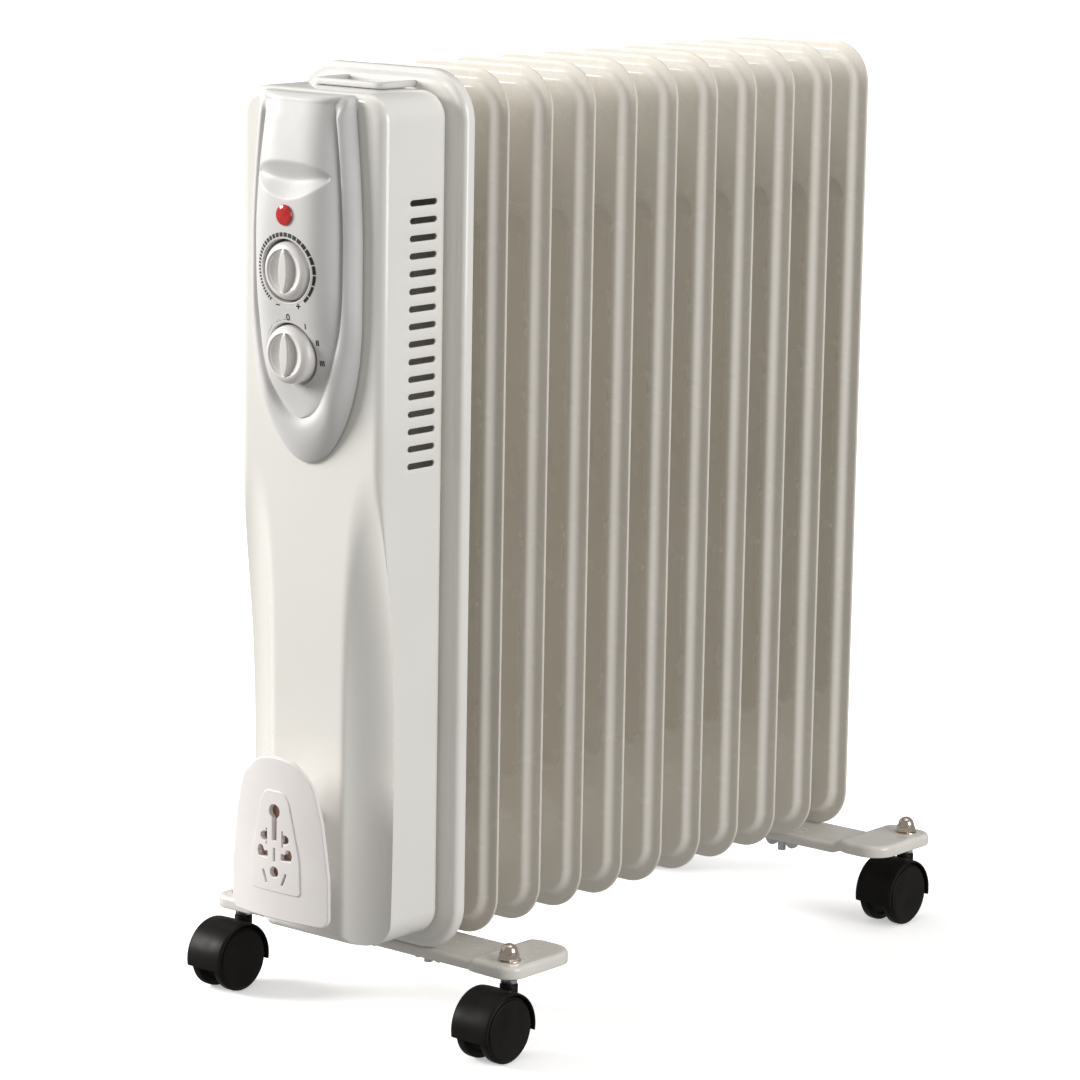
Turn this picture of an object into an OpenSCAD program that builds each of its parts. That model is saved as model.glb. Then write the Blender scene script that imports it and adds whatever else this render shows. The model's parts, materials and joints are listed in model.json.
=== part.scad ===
// Oil filled radiator heater: eleven pressed fins on four twin-wheel castors,
// with a control casing, a grip and a cord holder at the front.
// Millimetres. X runs across the fins, -Y is the control side, Z is up, the floor is Z = 0.

/* [Fins] */
// Width of a fin
fin_w = 140; // [120:1:160]
// Height of a fin
fin_h = 580; // [560:1:600]
// Corner radius of a fin
fin_r = 29; // [24:1:36]
// Distance from one fin to the next
fin_pitch = 44.2; // [42:0.1:50]
// Height of the fins' lower edge above the floor
fin_z = 58.9; // [58:0.1:62]
// Width of the flat welded rim
rim_w = 7; // [5:0.5:9]
// Height of the pressed pad above the fin's middle plane
pad_rise = 6; // [5:0.5:8]
// Distance from the fin's top and bottom to the shallow middle panel
panel_end = 96; // [90:1:110]

/* [Headers] */
// Height of the upper header above the fins' lower edge
upper_header = 531; // [520:1:540]
// Height of the lower header above the fins' lower edge
lower_header = 48; // [46:1:60]
// Outer radius of a header neck
neck_r = 26; // [22:1:28]

/* [Casing] */
// Width of the control casing
casing_w = 124; // [116:1:126]
// Distance from the casing's front face to the first fin
casing_front = 68; // [64:1:72]
// Top of the casing
casing_top = 628; // [620:1:632]
// Bottom of the casing
casing_bottom = 71; // [70:1:80]
// Corner radius seen from the front
casing_r = 18; // [14:1:24]
// Corner radius of the two front edges
casing_edge_r = 10; // [6:1:12]
// Thickness of the casing's sheet
casing_wall = 1.2; // [1:0.1:2]
// Number of vent slots in each side
vent_count = 16; // [8:1:16]

/* [Controls] */
// Height of the thermostat knob's axis
thermostat_z = 514.2; // [510:0.1:518]
// Height of the power knob's axis
power_z = 460.1; // [456:0.1:464]
// Height of the indicator lamp
lamp_z = 550; // [546:1:554]
// Radius of a knob
knob_r = 19; // [16:1:20]

/* [Cord holder] */
// Distance from the holder's front to the first fin
holder_front = 99; // [96:1:104]
// Bottom of the cord holder
holder_bottom = 88.5; // [86:0.5:92]
// Top of the cord holder
holder_top = 197.5; // [190:0.5:204]

/* [Feet] */
// Distance from the middle to a castor's stem
stem_x = 120; // [110:1:124]
// Depth of a foot plate's end
foot_depth = 70; // [66:1:80]
// Distance from a castor's stem to the plate's outer edge
stem_edge = 16; // [15:1:20]
// Top of the plate's raised ends
foot_top = 64; // [63:0.5:66]

/* [Castors] */
// Radius of a castor wheel
wheel_r = 22.5; // [20:0.5:23]
// Distance from the stem to the axle
trail = 15; // [12:1:16]
// Width of a castor
castor_w = 31; // [28:1:34]

/* [Hidden] */
$fn = 96;
fin_count = 11;
sheet = 0.8;
fin_span = fin_pitch * (fin_count - 1);
front_stem_y = -2;
rear_stem_y = fin_span + 7;
depth_front = holder_front;
depth_rear = rear_stem_y + stem_edge;
// Place of the first fin's middle plane, with the whole object's depth centred on Y = 0
fin1_y = (depth_front - depth_rear) / 2;
upper_z = fin_z + upper_header;
lower_z = fin_z + lower_header;
header_hole_r = 20;
neck_wall = 1.2;
rib_w = 14;
panel_rise = 2.6;
element_port_r = 18;

frame_side = 4.3;
frame_bottom = fin_z - 1.4;
frame_top = fin_z + fin_h + 1.8;
frame_front = -3;
frame_rear = 6;
frame_sheet = 1.2;
neck_gap = 0.2;

vent_pitch = 11.3;
vent_top = 558.5;
vent_length = 26;
vent_height = 4;
vent_y = -29;
casing_rear = -5.5;
window_half = 28;
window_low = 432;
window_high = 600;
bush_hole_r = 7;
screw_x = 30;
screw_y = -7.2;
screw_r = 1.25;
flute_r = 42;
flute_bend = 953;
flute_z = 185;
flute_x = 64.2;
flute_y = -94;
flute_angle = 30;

// Outer and inner shield outlines: half-widths, and heights of their low point, widest place and top
outer_half = 46.5;
outer_low = 388;
outer_mid = 483;
outer_wide_z = 530;
outer_top = 626;
outer_top_half = 38.8;
inner_half = 37.4;
inner_low = 418;
inner_mid = 520;
inner_wide_z = 535;
inner_top = 624;
inner_top_half = 32;
ridge_front = 78;
crown_front = 92.2;
crown_half = 38;
crown_edge_r = 22;
crown_depth = 60;
bow_r = 400;
bow_z = 540;
recess_r = 12.6;
recess_y = -95.6;
recess_z = 572;
recess_half = 30;
lens_r = 6.75;
lens_front = -94;
lens_stem_r = 4.5;
// Flat face on the bulging front that the lens sits on
lens_seat = bow_r - crown_front - sqrt(pow(bow_r, 2) - pow(lamp_z - bow_z, 2));
lamp_r = 3;
post_x = 21;
post_z = [442, 528];
post_r = 3.5;
panel_wall = 2.5;
seat_r = 20.5;
seat_wall = 1.5;
seat_floor = 2.5;
thermostat_seat = -80;
power_seat = -78.5;
bracket_y = -60;
bracket_half = 26;
bracket_low = 436;
bracket_high = 534;
bracket_sheet = 1.2;
bush_r = 5;
shaft_r = 3;
shaft_clearance = 0.05;
knob_height = 13.7;
knob_dome_r = 22.8;
knob_dome_y = 18;
bar_half = 1.2;
scoop_r = 7;

holder_r = 180;
holder_wall = 3;
hub_half = 17.5;
hub_bottom = 98;
hub_top = 172;
keyhole_z = 161.3;
keyhole_r = 4.6;
keyhole_slot = 3.7;
keyhole_low = 141.7;
pin_hole_r = 3.6;
pin_hole_z = 120.5;
round_hole_x = 9.4;
round_hole_z = 143.7;
round_hole_r = 3.2;
flat_hole_x = 10;
flat_hole_z = 132;
flat_hole_w = 9;
flat_hole_h = 5;
slit_w = 1.6;
slit_h = 9;

handle_half = 31.5;
handle_front = -36;
handle_rear = -3;
handle_bottom = casing_top;
handle_top = casing_top + 5;
bar_w = 7;
well_half = 25;
well_depth = 24;
well_front = -50;
well_rear = -10.6;
well_lip = 1.6;
notch_half = well_half + well_lip + 0.2;

bush_x = -25;
bush_y = -36;
cord_bore_r = 4;

seat_front = frame_bottom;
seat_rear = fin_z;
foot_sheet = 2;
foot_lip = 7;
foot_corner = 15;
middle_inset = 6;
foot_half = 135;
step_x = 88;
skirt_z = 55.5;
bolt_rod = 3;
bolt_x = neck_r + bolt_rod;

castor_stem_r = 3.5;
stem_low = 33;
collar_r = 5.5;
hood_r = 25.5;
hood_wall = 1.9;
hood_low = 18;
web_half = 5.5;
boss_r = 6.1;
boss_top = 48.5;
axle_r = 2.5;
axle_half = 13.5;
wheel_inner = 6.9;
castor_names = ["front_left", "front_right", "rear_left", "rear_right"];

paint = [0.86, 0.85, 0.80];
shade = [0.78, 0.76, 0.72];
moulding = [0.89, 0.88, 0.86];
nylon = [0.10, 0.10, 0.10];
nickel = [0.72, 0.69, 0.64];
zinc = [0.66, 0.68, 0.70];

// ---------- helpers ----------

// Everything is drawn with the first fin's middle plane at Y = 0 and then put in its place
module placed() {
    translate([0, fin1_y, 0]) children();
}

// A flat outline in X and Z, drawn as x and y, made solid from y0 to y1
module along_y(y0, y1) {
    translate([0, y1, 0]) rotate([90, 0, 0]) linear_extrude(y1 - y0) children();
}

// A flat outline in Y and Z, drawn as x and y, made solid from x0 to x1
module along_x(x0, x1) {
    translate([x0, 0, 0]) rotate([90, 0, 90]) linear_extrude(x1 - x0) children();
}

module rod_y(r, y0, y1) {
    translate([0, y1, 0]) rotate([90, 0, 0]) cylinder(r = r, h = y1 - y0);
}

module rod_x(r, x0, x1) {
    translate([x0, 0, 0]) rotate([0, 90, 0]) cylinder(r = r, h = x1 - x0);
}

module block(x0, x1, y0, y1, z0, z1) {
    translate([x0, y0, z0]) cube([x1 - x0, y1 - y0, z1 - z0]);
}

// Rounded rectangle from (x0, y0) to (x1, y1)
module round_rect(x0, y0, x1, y1, r) {
    translate([x0 + r, y0]) square([x1 - x0 - 2 * r, y1 - y0]);
    translate([x0, y0 + r]) square([x1 - x0, y1 - y0 - 2 * r]);
    for (x = [x0 + r, x1 - r]) {
        for (y = [y0 + r, y1 - r]) {
            translate([x, y]) circle(r = r);
        }
    }
}

// ---------- fins ----------

module fin_outline(inset) {
    round_rect(-fin_w / 2 + inset, fin_z + inset, fin_w / 2 - inset, fin_z + fin_h - inset, fin_r - inset);
}

module shallow_outline(grow) {
    side = fin_w / 2 - rib_w + grow;
    round_rect(-side, fin_z + panel_end - grow, side, fin_z + fin_h - panel_end + grow, 10 + grow);
}

// One side's pressed pad: a step, a flat top and a shallow middle panel. gap thins it from inside
module pad(rise, inset, cut_rise, grow) {
    difference() {
        union() {
            along_y(0, rise * 0.55) fin_outline(inset);
            along_y(0, rise) fin_outline(inset + 1.5);
        }
        along_y(cut_rise, rise + 1) shallow_outline(grow);
    }
}

module fin_shape(front_pad, front_hole, rear_hole, lower_front_hole) {
    difference() {
        union() {
            along_y(-sheet, sheet) fin_outline(0);
            pad(pad_rise, rim_w, panel_rise, 0);
            if (front_pad) mirror([0, 1, 0]) pad(pad_rise, rim_w, panel_rise, 0);
        }
        pad(pad_rise - sheet, rim_w + sheet, panel_rise - sheet, sheet);
        if (front_pad) mirror([0, 1, 0]) pad(pad_rise - sheet, rim_w + sheet, panel_rise - sheet, sheet);
        if (front_hole) translate([0, 0, upper_z]) rod_y(header_hole_r, -pad_rise - 1, 0.1);
        if (rear_hole) {
            translate([0, 0, upper_z]) rod_y(header_hole_r, 0.1, pad_rise + 1);
            translate([0, 0, lower_z]) rod_y(header_hole_r, 0.1, pad_rise + 1);
        }
        if (lower_front_hole) {
            hole_r = front_pad ? header_hole_r : element_port_r;
            translate([0, 0, lower_z]) rod_y(hole_r, -pad_rise - 1, 0.1);
        }
    }
}

module fin(number) {
    first = number == 1;
    last = number == fin_count;
    color(paint) placed() translate([0, (number - 1) * fin_pitch, 0])
        fin_shape(!first, !first, !last, true);
}

// Short tubes that join one fin's header to the next
module necks(z) {
    color(shade) placed() for (i = [0 : fin_count - 2]) {
        translate([0, i * fin_pitch, z]) difference() {
            rod_y(neck_r, pad_rise, fin_pitch - pad_rise);
            rod_y(neck_r - neck_wall, pad_rise - 1, fin_pitch - pad_rise + 1);
        }
    }
}

// ---------- casing ----------

module frame_outline(inset) {
    side = fin_w / 2 + frame_side - inset;
    round_rect(-side, frame_bottom + inset, side, frame_top - inset, fin_r + frame_side - inset);
}

module casing_outline(inset) {
    side = casing_w / 2 - inset;
    round_rect(-side, casing_bottom + inset, side, casing_top - inset, casing_r - inset);
}

// Folded sheet that wraps the first fin's rim and carries the casing
module rim_frame() {
    neck = casing_wall + neck_gap;
    color(paint) placed() {
        difference() {
            along_y(frame_front, frame_rear) frame_outline(0);
            along_y(frame_front + frame_sheet, frame_rear - frame_sheet) frame_outline(frame_sheet);
            along_y(frame_rear - frame_sheet - 1, frame_rear + 1) frame_outline(6);
            along_y(frame_front - 1, frame_front + frame_sheet + 1) casing_outline(neck + frame_sheet);
        }
        difference() {
            along_y(-9, frame_front + frame_sheet) casing_outline(neck);
            along_y(-10, frame_front + frame_sheet + 1) casing_outline(neck + frame_sheet);
            for (x = [-screw_x, screw_x]) {
                translate([x, screw_y, casing_bottom]) cylinder(r = screw_r, h = 6);
            }
        }
    }
}

// Hollow pressed into each lower front edge, fading towards its top and bottom
module flute(tube) {
    translate([flute_x, flute_y, flute_z]) rotate([0, 0, -flute_angle])
        translate([0, -flute_bend, 0]) rotate([0, 90, 0]) rotate([0, 0, 90 - 15])
            rotate_extrude(angle = 30, $fn = 720) translate([flute_bend, 0]) circle(r = tube);
}

module casing_form(inset) {
    side = casing_w / 2 - inset;
    front = -casing_front + inset;
    difference() {
        intersection() {
            along_y(-casing_front - 1, casing_rear) casing_outline(inset);
            linear_extrude(700) round_rect(-side, front, side, 30, casing_edge_r - inset);
        }
        flute(flute_r + inset);
        mirror([1, 0, 0]) flute(flute_r + inset);
    }
}

module vent_slots() {
    half = vent_length / 2 - vent_height / 2;
    for (i = [0 : vent_count - 1]) {
        z = vent_top - i * vent_pitch;
        along_x(-casing_w / 2 - 1, casing_w / 2 + 1)
            round_rect(vent_y - vent_length / 2, z - vent_height / 2,
                vent_y + vent_length / 2, z + vent_height / 2, vent_height / 2 - 0.01);
    }
}

module casing_cover() {
    color(paint) placed() difference() {
        casing_form(0);
        difference() {
            casing_form(casing_wall);
            block(-70, 70, casing_rear, 0, 0, 700);
        }
        along_y(casing_rear - 1, 0) casing_outline(casing_wall);
        vent_slots();
        along_y(-casing_front - 1, -casing_front + 4)
            round_rect(-window_half, window_low, window_half, window_high, 6);
        // Notch for the finger well, open at the rear edge and hidden below the grip's frame
        block(-notch_half, notch_half, handle_front + bar_w, 0, casing_top - 4, casing_top + 1);
        translate([bush_x, bush_y, casing_bottom - 1]) cylinder(r = bush_hole_r, h = 5);
        for (x = [-screw_x, screw_x]) {
            translate([x, screw_y, casing_bottom - 1]) cylinder(r = screw_r + 0.05, h = 4);
        }
    }
}

// ---------- control panel ----------

// Half an outline's width at height z: an ellipse below mid_z and a gentle taper above wide_z
function half_width(z, wide, low, mid, top, top_half, wide_z) =
    z < mid ? wide * sqrt(max(0, 1 - pow((mid - z) / (mid - low), 2)))
    : z < wide_z ? wide
    : wide - (wide - top_half) * pow((z - wide_z) / (top - wide_z), 2);

// Shield-shaped outline, closed at the top by a straight edge
module shield(wide, low, mid, top, top_half, wide_z) {
    steps = 40;
    // Heights lie closer together near the rounded lower end
    heights = [for (i = [0 : steps]) low + (top - low) * (1 - cos(90 * i / steps))];
    right = [for (z = heights) [half_width(z, wide, low, mid, top, top_half, wide_z), z]];
    left = [for (i = [steps : -1 : 1]) [-right[i][0], right[i][1]]];
    polygon(concat(right, left));
}

module outer_shield(inset) {
    shield(outer_half - inset, outer_low + inset, outer_mid, outer_top - inset,
        outer_top_half - inset, outer_wide_z);
}

module inner_shield(inset) {
    shield(inner_half - inset, inner_low + inset, inner_mid, inner_top - inset,
        inner_top_half - inset, inner_wide_z);
}

// A bent bar with rounded edges whose front carries the dials
module crown(inset) {
    translate([0, bow_r - crown_front, bow_z]) rotate([0, 90, 0])
        rotate([0, 0, 270 - 20]) rotate_extrude(angle = 40, $fn = 360)
            round_rect(bow_r - crown_depth + inset, -crown_half + inset,
                bow_r - inset, crown_half - inset, crown_edge_r - inset);
}

// Cup that a knob's rear edge sinks into
module seat_cup(seat) {
    rod_y(seat_r + seat_wall, -crown_front, seat + seat_floor);
}

module control_panel() {
    back = -casing_front;
    front = -crown_front - 6;
    color(moulding) placed() difference() {
        union() {
            difference() {
                along_y(-ridge_front, back) outer_shield(0);
                along_y(-ridge_front - 1, back + 1) inner_shield(panel_wall);
                along_y(-ridge_front + panel_wall, back + 1) difference() {
                    outer_shield(panel_wall);
                    inner_shield(0);
                }
            }
            difference() {
                intersection() {
                    along_y(front, back) inner_shield(0.5);
                    crown(0);
                }
                intersection() {
                    along_y(front, back + 1) inner_shield(panel_wall);
                    crown(panel_wall);
                }
            }
            intersection() {
                crown(0.5);
                union() {
                    translate([0, 0, thermostat_z]) seat_cup(thermostat_seat);
                    translate([0, 0, power_z]) seat_cup(power_seat);
                    block(-recess_half - 2, recess_half + 2, front, -78, recess_z - 16, recess_z + 16);
                    for (x = [-post_x, post_x], z = post_z) {
                        translate([x, 0, z]) rod_y(post_r, front, bracket_y - bracket_sheet);
                    }
                }
            }
        }
        translate([0, 0, thermostat_z]) {
            rod_y(seat_r, thermostat_seat - 20, thermostat_seat);
            rod_y(shaft_r + 0.5, thermostat_seat - 1, thermostat_seat + 16);
        }
        translate([0, 0, power_z]) {
            rod_y(seat_r, power_seat - 20, power_seat);
            rod_y(shaft_r + 0.5, power_seat - 1, power_seat + 16);
        }
        translate([0, 0, lamp_z]) {
            rod_y(lens_stem_r, front, -70);
            rod_y(lens_r + 0.1, front, lens_seat);
        }
        translate([-recess_half, recess_y, recess_z]) rod_x(recess_r, 0, 2 * recess_half);
    }
}

module indicator_lens() {
    dome_r = 40;
    color([0.8, 0.05, 0.08]) placed() translate([0, 0, lamp_z]) difference() {
        union() {
            rod_y(lens_stem_r, lens_seat - 1, lens_seat + 7);
            intersection() {
                rod_y(lens_r, lens_front - 1, lens_seat);
                translate([0, lens_front + dome_r, 0]) sphere(r = dome_r);
            }
        }
        rod_y(lamp_r, lens_seat - 1, lens_seat + 8);
    }
}

module indicator_lamp() {
    color("orange") placed() translate([0, 0, lamp_z]) {
        rod_y(lamp_r, -crown_front + 0.5, -66);
    }
}

// Round knob with a finger bar between two scooped hollows
module knob(z, seat) {
    back = seat - 0.5;
    front = back - knob_height;
    color(moulding) placed() translate([0, 0, z]) difference() {
        intersection() {
            rod_y(knob_r, front, back);
            translate([0, front + knob_dome_y, 0]) sphere(r = knob_dome_r);
        }
        for (s = [-1, 1]) {
            translate([s * (bar_half + scoop_r), front - 1.5, 0]) scoop();
        }
        rod_y(shaft_r, back - 6, back + 1);
    }
}

// Upright hollow, deepest at its middle
module scoop() {
    intersection() {
        cylinder(r = scoop_r, h = 26, center = true);
        translate([0, -8, 0]) sphere(r = 15);
    }
}

// Shaft with its far end in the knob and its near end in the control's bush
module shaft(z, seat) {
    color(zinc) placed() translate([0, 0, z]) rod_y(shaft_r, seat - 6.5, bracket_y + 12);
}

// Body of a rotary control behind the bracket, with a threaded bush through it
module rotary_control(z, half_x, half_z, depth) {
    color([0.2, 0.2, 0.22]) placed() translate([0, 0, z]) difference() {
        union() {
            block(-half_x, half_x, bracket_y, bracket_y + depth, -half_z, half_z);
            rod_y(bush_r, bracket_y - 6, bracket_y + 1);
        }
        rod_y(shaft_r + shaft_clearance, bracket_y - 7, bracket_y + 12.3);
    }
}

module control_bracket() {
    color(zinc) placed() difference() {
        block(-bracket_half, bracket_half, bracket_y - bracket_sheet, bracket_y, bracket_low, bracket_high);
        translate([0, 0, thermostat_z]) rod_y(bush_r + 0.1, bracket_y - 3, bracket_y + 2);
        translate([0, 0, power_z]) rod_y(bush_r + 0.1, bracket_y - 3, bracket_y + 2);
    }
}

// ---------- inside the casing ----------

module thermal_cutout() {
    color("silver") placed() translate([0, 0, 300]) {
        rod_y(8, -7, -sheet);
        block(-12, 12, -8.5, -7, -4, 4);
    }
}

module terminal_block() {
    color("ivory") placed() difference() {
        block(-17, 17, -14, -sheet, 200, 222);
        for (x = [-11, 0, 11]) {
            translate([x, -15, 211]) rotate([-90, 0, 0]) cylinder(r = 2.5, h = 8);
        }
    }
}

// Two hairpins that run through the lower header
module heating_elements() {
    leg_r = 3.3;
    bend_r = 6.5;
    far = fin_span - 60;
    color([0.35, 0.33, 0.32]) placed() translate([0, 0, lower_z]) for (z = [-8, 8]) {
        for (x = [-bend_r, bend_r]) {
            translate([x, 0, z]) rod_y(leg_r, -16, far);
        }
        translate([0, far, z]) rotate_extrude(angle = 180) translate([bend_r, 0]) circle(r = leg_r);
    }
}

module element_flange() {
    color(zinc) placed() translate([0, 0, lower_z]) difference() {
        rod_y(27, -5.8, -1.8);
        for (x = [-6.5, 6.5]) {
            for (z = [-8, 8]) {
                translate([x, 0, z]) rod_y(3.3, -7, 0);
            }
        }
    }
}

module flange_gasket() {
    color([0.3, 0.3, 0.3]) placed() translate([0, 0, lower_z]) difference() {
        rod_y(26, -1.8, -sheet);
        rod_y(element_port_r, -3, 0);
    }
}

module filler_plug() {
    color(zinc) placed() translate([0, 0, upper_z - 40]) rod_y(6, -5, -sheet);
}

// ---------- grip, cord holder and trim ----------

// Grip frame on the casing's top, with the finger well that hangs below it
module handle() {
    wall_x = well_half + well_lip;
    wall_y = well_rear + well_lip;
    gap_front = handle_front + bar_w + 2;
    color(moulding) placed() difference() {
        union() {
            block(-handle_half, handle_half, handle_front, handle_rear, handle_bottom, handle_top);
            block(-wall_x, wall_x, gap_front - well_lip, wall_y, casing_top - 6, handle_bottom);
            block(-wall_x, wall_x, well_front - well_lip, wall_y,
                casing_top - well_depth - well_lip, casing_top - casing_wall - 0.4);
        }
        block(-well_half, well_half, gap_front, well_rear, casing_top - 8, handle_top + 1);
        block(-well_half, well_half, well_front, well_rear, casing_top - well_depth, casing_top - 3.2);
        block(-handle_half + bar_w, handle_half - bar_w, handle_front - 1, handle_front + bar_w,
            handle_bottom - 1, handle_bottom + 1);
    }
}

module holder_outline(inset) {
    // Half-widths at a few heights, joined by straight runs and closed by a low arc
    side = [[44.4, holder_bottom], [43.2, 122], [38, 159], [30, 184]];
    lower = [for (p = side) [p[0] - inset, max(p[1], holder_bottom + inset)]];
    arc = [for (a = [18 : 9 : 90]) [31 * cos(a) - inset * cos(a), 184 + (holder_top - 184 - inset) * sin(a)]];
    right = concat(lower, arc);
    left = [for (i = [len(right) - 2 : -1 : 0]) [-right[i][0], right[i][1]]];
    polygon(concat(right, left));
}

// Holes that park the prongs of a plug
module parking_holes() {
    translate([0, keyhole_z]) circle(r = keyhole_r);
    translate([-keyhole_slot / 2, keyhole_low]) square([keyhole_slot, keyhole_z - keyhole_low]);
    translate([0, pin_hole_z]) circle(r = pin_hole_r);
    translate([-slit_w / 2, flat_hole_z - slit_h / 2]) square([slit_w, slit_h]);
    for (s = [-1, 1]) {
        translate([s * round_hole_x, round_hole_z]) circle(r = round_hole_r);
        translate([s * flat_hole_x - flat_hole_w / 2, flat_hole_z - flat_hole_h / 2])
            square([flat_hole_w, flat_hole_h]);
        translate([s * 8, pin_hole_z - 4]) rotate(-s * 25)
            translate([-slit_w / 2, -slit_h / 2]) square([slit_w, slit_h]);
    }
}

module cord_holder() {
    color(moulding) placed() difference() {
        union() {
            intersection() {
                along_y(-holder_front, -80) holder_outline(0);
                difference() {
                    translate([0, holder_r - holder_front, 80]) cylinder(r = holder_r, h = 130, $fn = 360);
                    translate([0, holder_r - holder_front, 79])
                        cylinder(r = holder_r - holder_wall, h = 132, $fn = 360);
                }
            }
            along_y(-holder_front + 2, -casing_front)
                round_rect(-hub_half, hub_bottom, hub_half, hub_top, 10);
        }
        along_y(-holder_front + 4, -casing_front + 1)
            round_rect(-hub_half + 2.5, hub_bottom + 2.5, hub_half - 2.5, hub_top - 2.5, 7.5);
        along_y(-holder_front - 1, -holder_front + 5) parking_holes();
    }
}

// Rubber bush for the mains lead in the casing's underside
module cord_bush() {
    color([0.12, 0.12, 0.12]) placed() translate([bush_x, bush_y, casing_bottom]) difference() {
        union() {
            translate([0, 0, -3]) cylinder(r = 9, h = 3);
            translate([0, 0, -1]) cylinder(r = 6.9, h = 7);
        }
        translate([0, 0, -4]) cylinder(r = cord_bore_r, h = 12);
    }
}

module casing_screws() {
    color(nickel) placed() for (x = [-screw_x, screw_x]) {
        translate([x, screw_y, casing_bottom]) {
            translate([0, 0, -2]) cylinder(r = 3.2, h = 2);
            translate([0, 0, -1]) cylinder(r = screw_r, h = 6);
        }
    }
}

// ---------- feet ----------

module foot_end_outline(inset, inner_x) {
    near = -stem_edge + inset;
    far = foot_depth - stem_edge - inset;
    round_rect(inner_x + inset, near, foot_half - inset, far, foot_corner - inset);
}

// A pressed plate with its stem at Y = 0 and its middle lying towards +Y
module foot_plate(seat_z, bolt_y) {
    near = 0;
    far = foot_depth - stem_edge - middle_inset;
    lip_z = seat_z - foot_lip;
    difference() {
        union() {
            difference() {
                block(-step_x - 4, step_x + 4, near, far, lip_z, seat_z);
                block(-step_x - 5, step_x + 5, near + foot_sheet, far - foot_sheet,
                    lip_z - 1, seat_z - foot_sheet);
            }
            for (s = [0, 1]) mirror([s, 0, 0]) difference() {
                translate([0, 0, skirt_z]) linear_extrude(foot_top - skirt_z)
                    foot_end_outline(0, step_x);
                translate([0, 0, skirt_z - 1.5]) linear_extrude(foot_top - foot_sheet - skirt_z + 1.5)
                    foot_end_outline(foot_sheet, step_x);
            }
        }
        for (x = [-stem_x, stem_x]) {
            translate([x, 0, foot_top - 5]) cylinder(r = castor_stem_r + 0.1, h = 8);
        }
        for (x = [-bolt_x, bolt_x]) {
            translate([x, bolt_y, seat_z - 5]) cylinder(r = bolt_rod + 0.3, h = 8);
        }
    }
}

module at_rear_stem() {
    translate([0, rear_stem_y, 0]) mirror([0, 1, 0]) children();
}

front_bolt_y = fin_pitch / 2 - front_stem_y;
rear_bolt_y = rear_stem_y - fin_span + fin_pitch / 2;

module front_foot() {
    color(paint) placed() translate([0, front_stem_y, 0]) foot_plate(seat_front, front_bolt_y);
}

module rear_foot() {
    color(paint) placed() at_rear_stem() foot_plate(seat_rear, rear_bolt_y);
}

module u_bolt(y) {
    translate([0, y, lower_z]) {
        rotate([90, 0, 0]) rotate_extrude(angle = 180) translate([bolt_x, 0]) circle(r = bolt_rod);
        for (x = [-bolt_x, bolt_x]) {
            translate([x, 0, 40 - lower_z]) cylinder(r = bolt_rod, h = lower_z - 40);
        }
    }
}

module u_bolts() {
    color(zinc) placed() {
        u_bolt(fin_pitch / 2);
        u_bolt(fin_span - fin_pitch / 2);
    }
}

module wing_nut(seat_z) {
    top = seat_z - foot_sheet;
    difference() {
        union() {
            translate([0, 0, top - 7]) cylinder(r = 6, h = 7);
            for (s = [-1, 1]) {
                translate([s * 9, -1.2, top - 9]) rotate([-90, 0, 0]) cylinder(r = 5.5, h = 2.4);
            }
            block(-9, 9, -1.2, 1.2, top - 8, top - 3);
        }
        translate([0, 0, top - 20]) cylinder(r = bolt_rod, h = 22);
    }
}

module wing_nuts() {
    color(zinc) placed() for (x = [-bolt_x, bolt_x]) {
        translate([x, fin_pitch / 2, 0]) wing_nut(seat_front);
        translate([x, fin_span - fin_pitch / 2, 0]) wing_nut(seat_rear);
    }
}

// Domed nut with a hexagonal base and a washer face
module cap_nut() {
    difference() {
        union() {
            cylinder(r = 8.2, h = 1);
            cylinder(r = 8, h = 5.5, $fn = 6);
            translate([0, 0, 5.5]) intersection() {
                sphere(r = 6.3);
                cylinder(r = 7, h = 7);
            }
        }
        translate([0, 0, -1]) cylinder(r = castor_stem_r, h = 8);
    }
}

module cap_nuts() {
    color(nickel) placed() for (x = [-stem_x, stem_x]) {
        for (y = [front_stem_y, rear_stem_y]) {
            translate([x, y, foot_top]) cap_nut();
        }
    }
}

// ---------- castors ----------

// Puts a castor's piece at one of the four stems
module at_castor(index) {
    side = index % 2 == 0 ? -1 : 1;
    y = index < 2 ? front_stem_y : rear_stem_y;
    placed() translate([side * stem_x, y, 0]) children();
}

module castor_stem(index) {
    color(zinc) at_castor(index) {
        translate([0, 0, stem_low]) cylinder(r = castor_stem_r, h = foot_top + 6.5 - stem_low);
        translate([0, 0, boss_top + 0.5]) cylinder(r = collar_r, h = foot_top - foot_sheet - boss_top - 0.5);
    }
}

module castor_hood(index) {
    half = castor_w / 2;
    color(nylon) at_castor(index) difference() {
        union() {
            translate([0, -trail, wheel_r]) difference() {
                rod_x(hood_r, -half, half);
                rod_x(hood_r - hood_wall, -half - 1, -web_half);
                rod_x(hood_r - hood_wall, web_half, half + 1);
                block(-half - 1, half + 1, -30, 30, -30, hood_low - wheel_r);
            }
            translate([0, 0, stem_low - 3]) cylinder(r = boss_r - 0.6, h = 10);
            translate([0, 0, 38]) cylinder(r = boss_r, h = boss_top - 38);
            translate([0, -trail, wheel_r]) rod_x(6, -web_half - 0.9, web_half + 0.9);
        }
        translate([0, 0, stem_low - 1]) cylinder(r = castor_stem_r + shaft_clearance, h = 20);
        translate([0, -trail, wheel_r]) rod_x(axle_r, -half, half);
    }
}

module castor_axle(index) {
    color(zinc) at_castor(index) translate([0, -trail, wheel_r]) rod_x(axle_r, -axle_half, axle_half);
}

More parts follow.
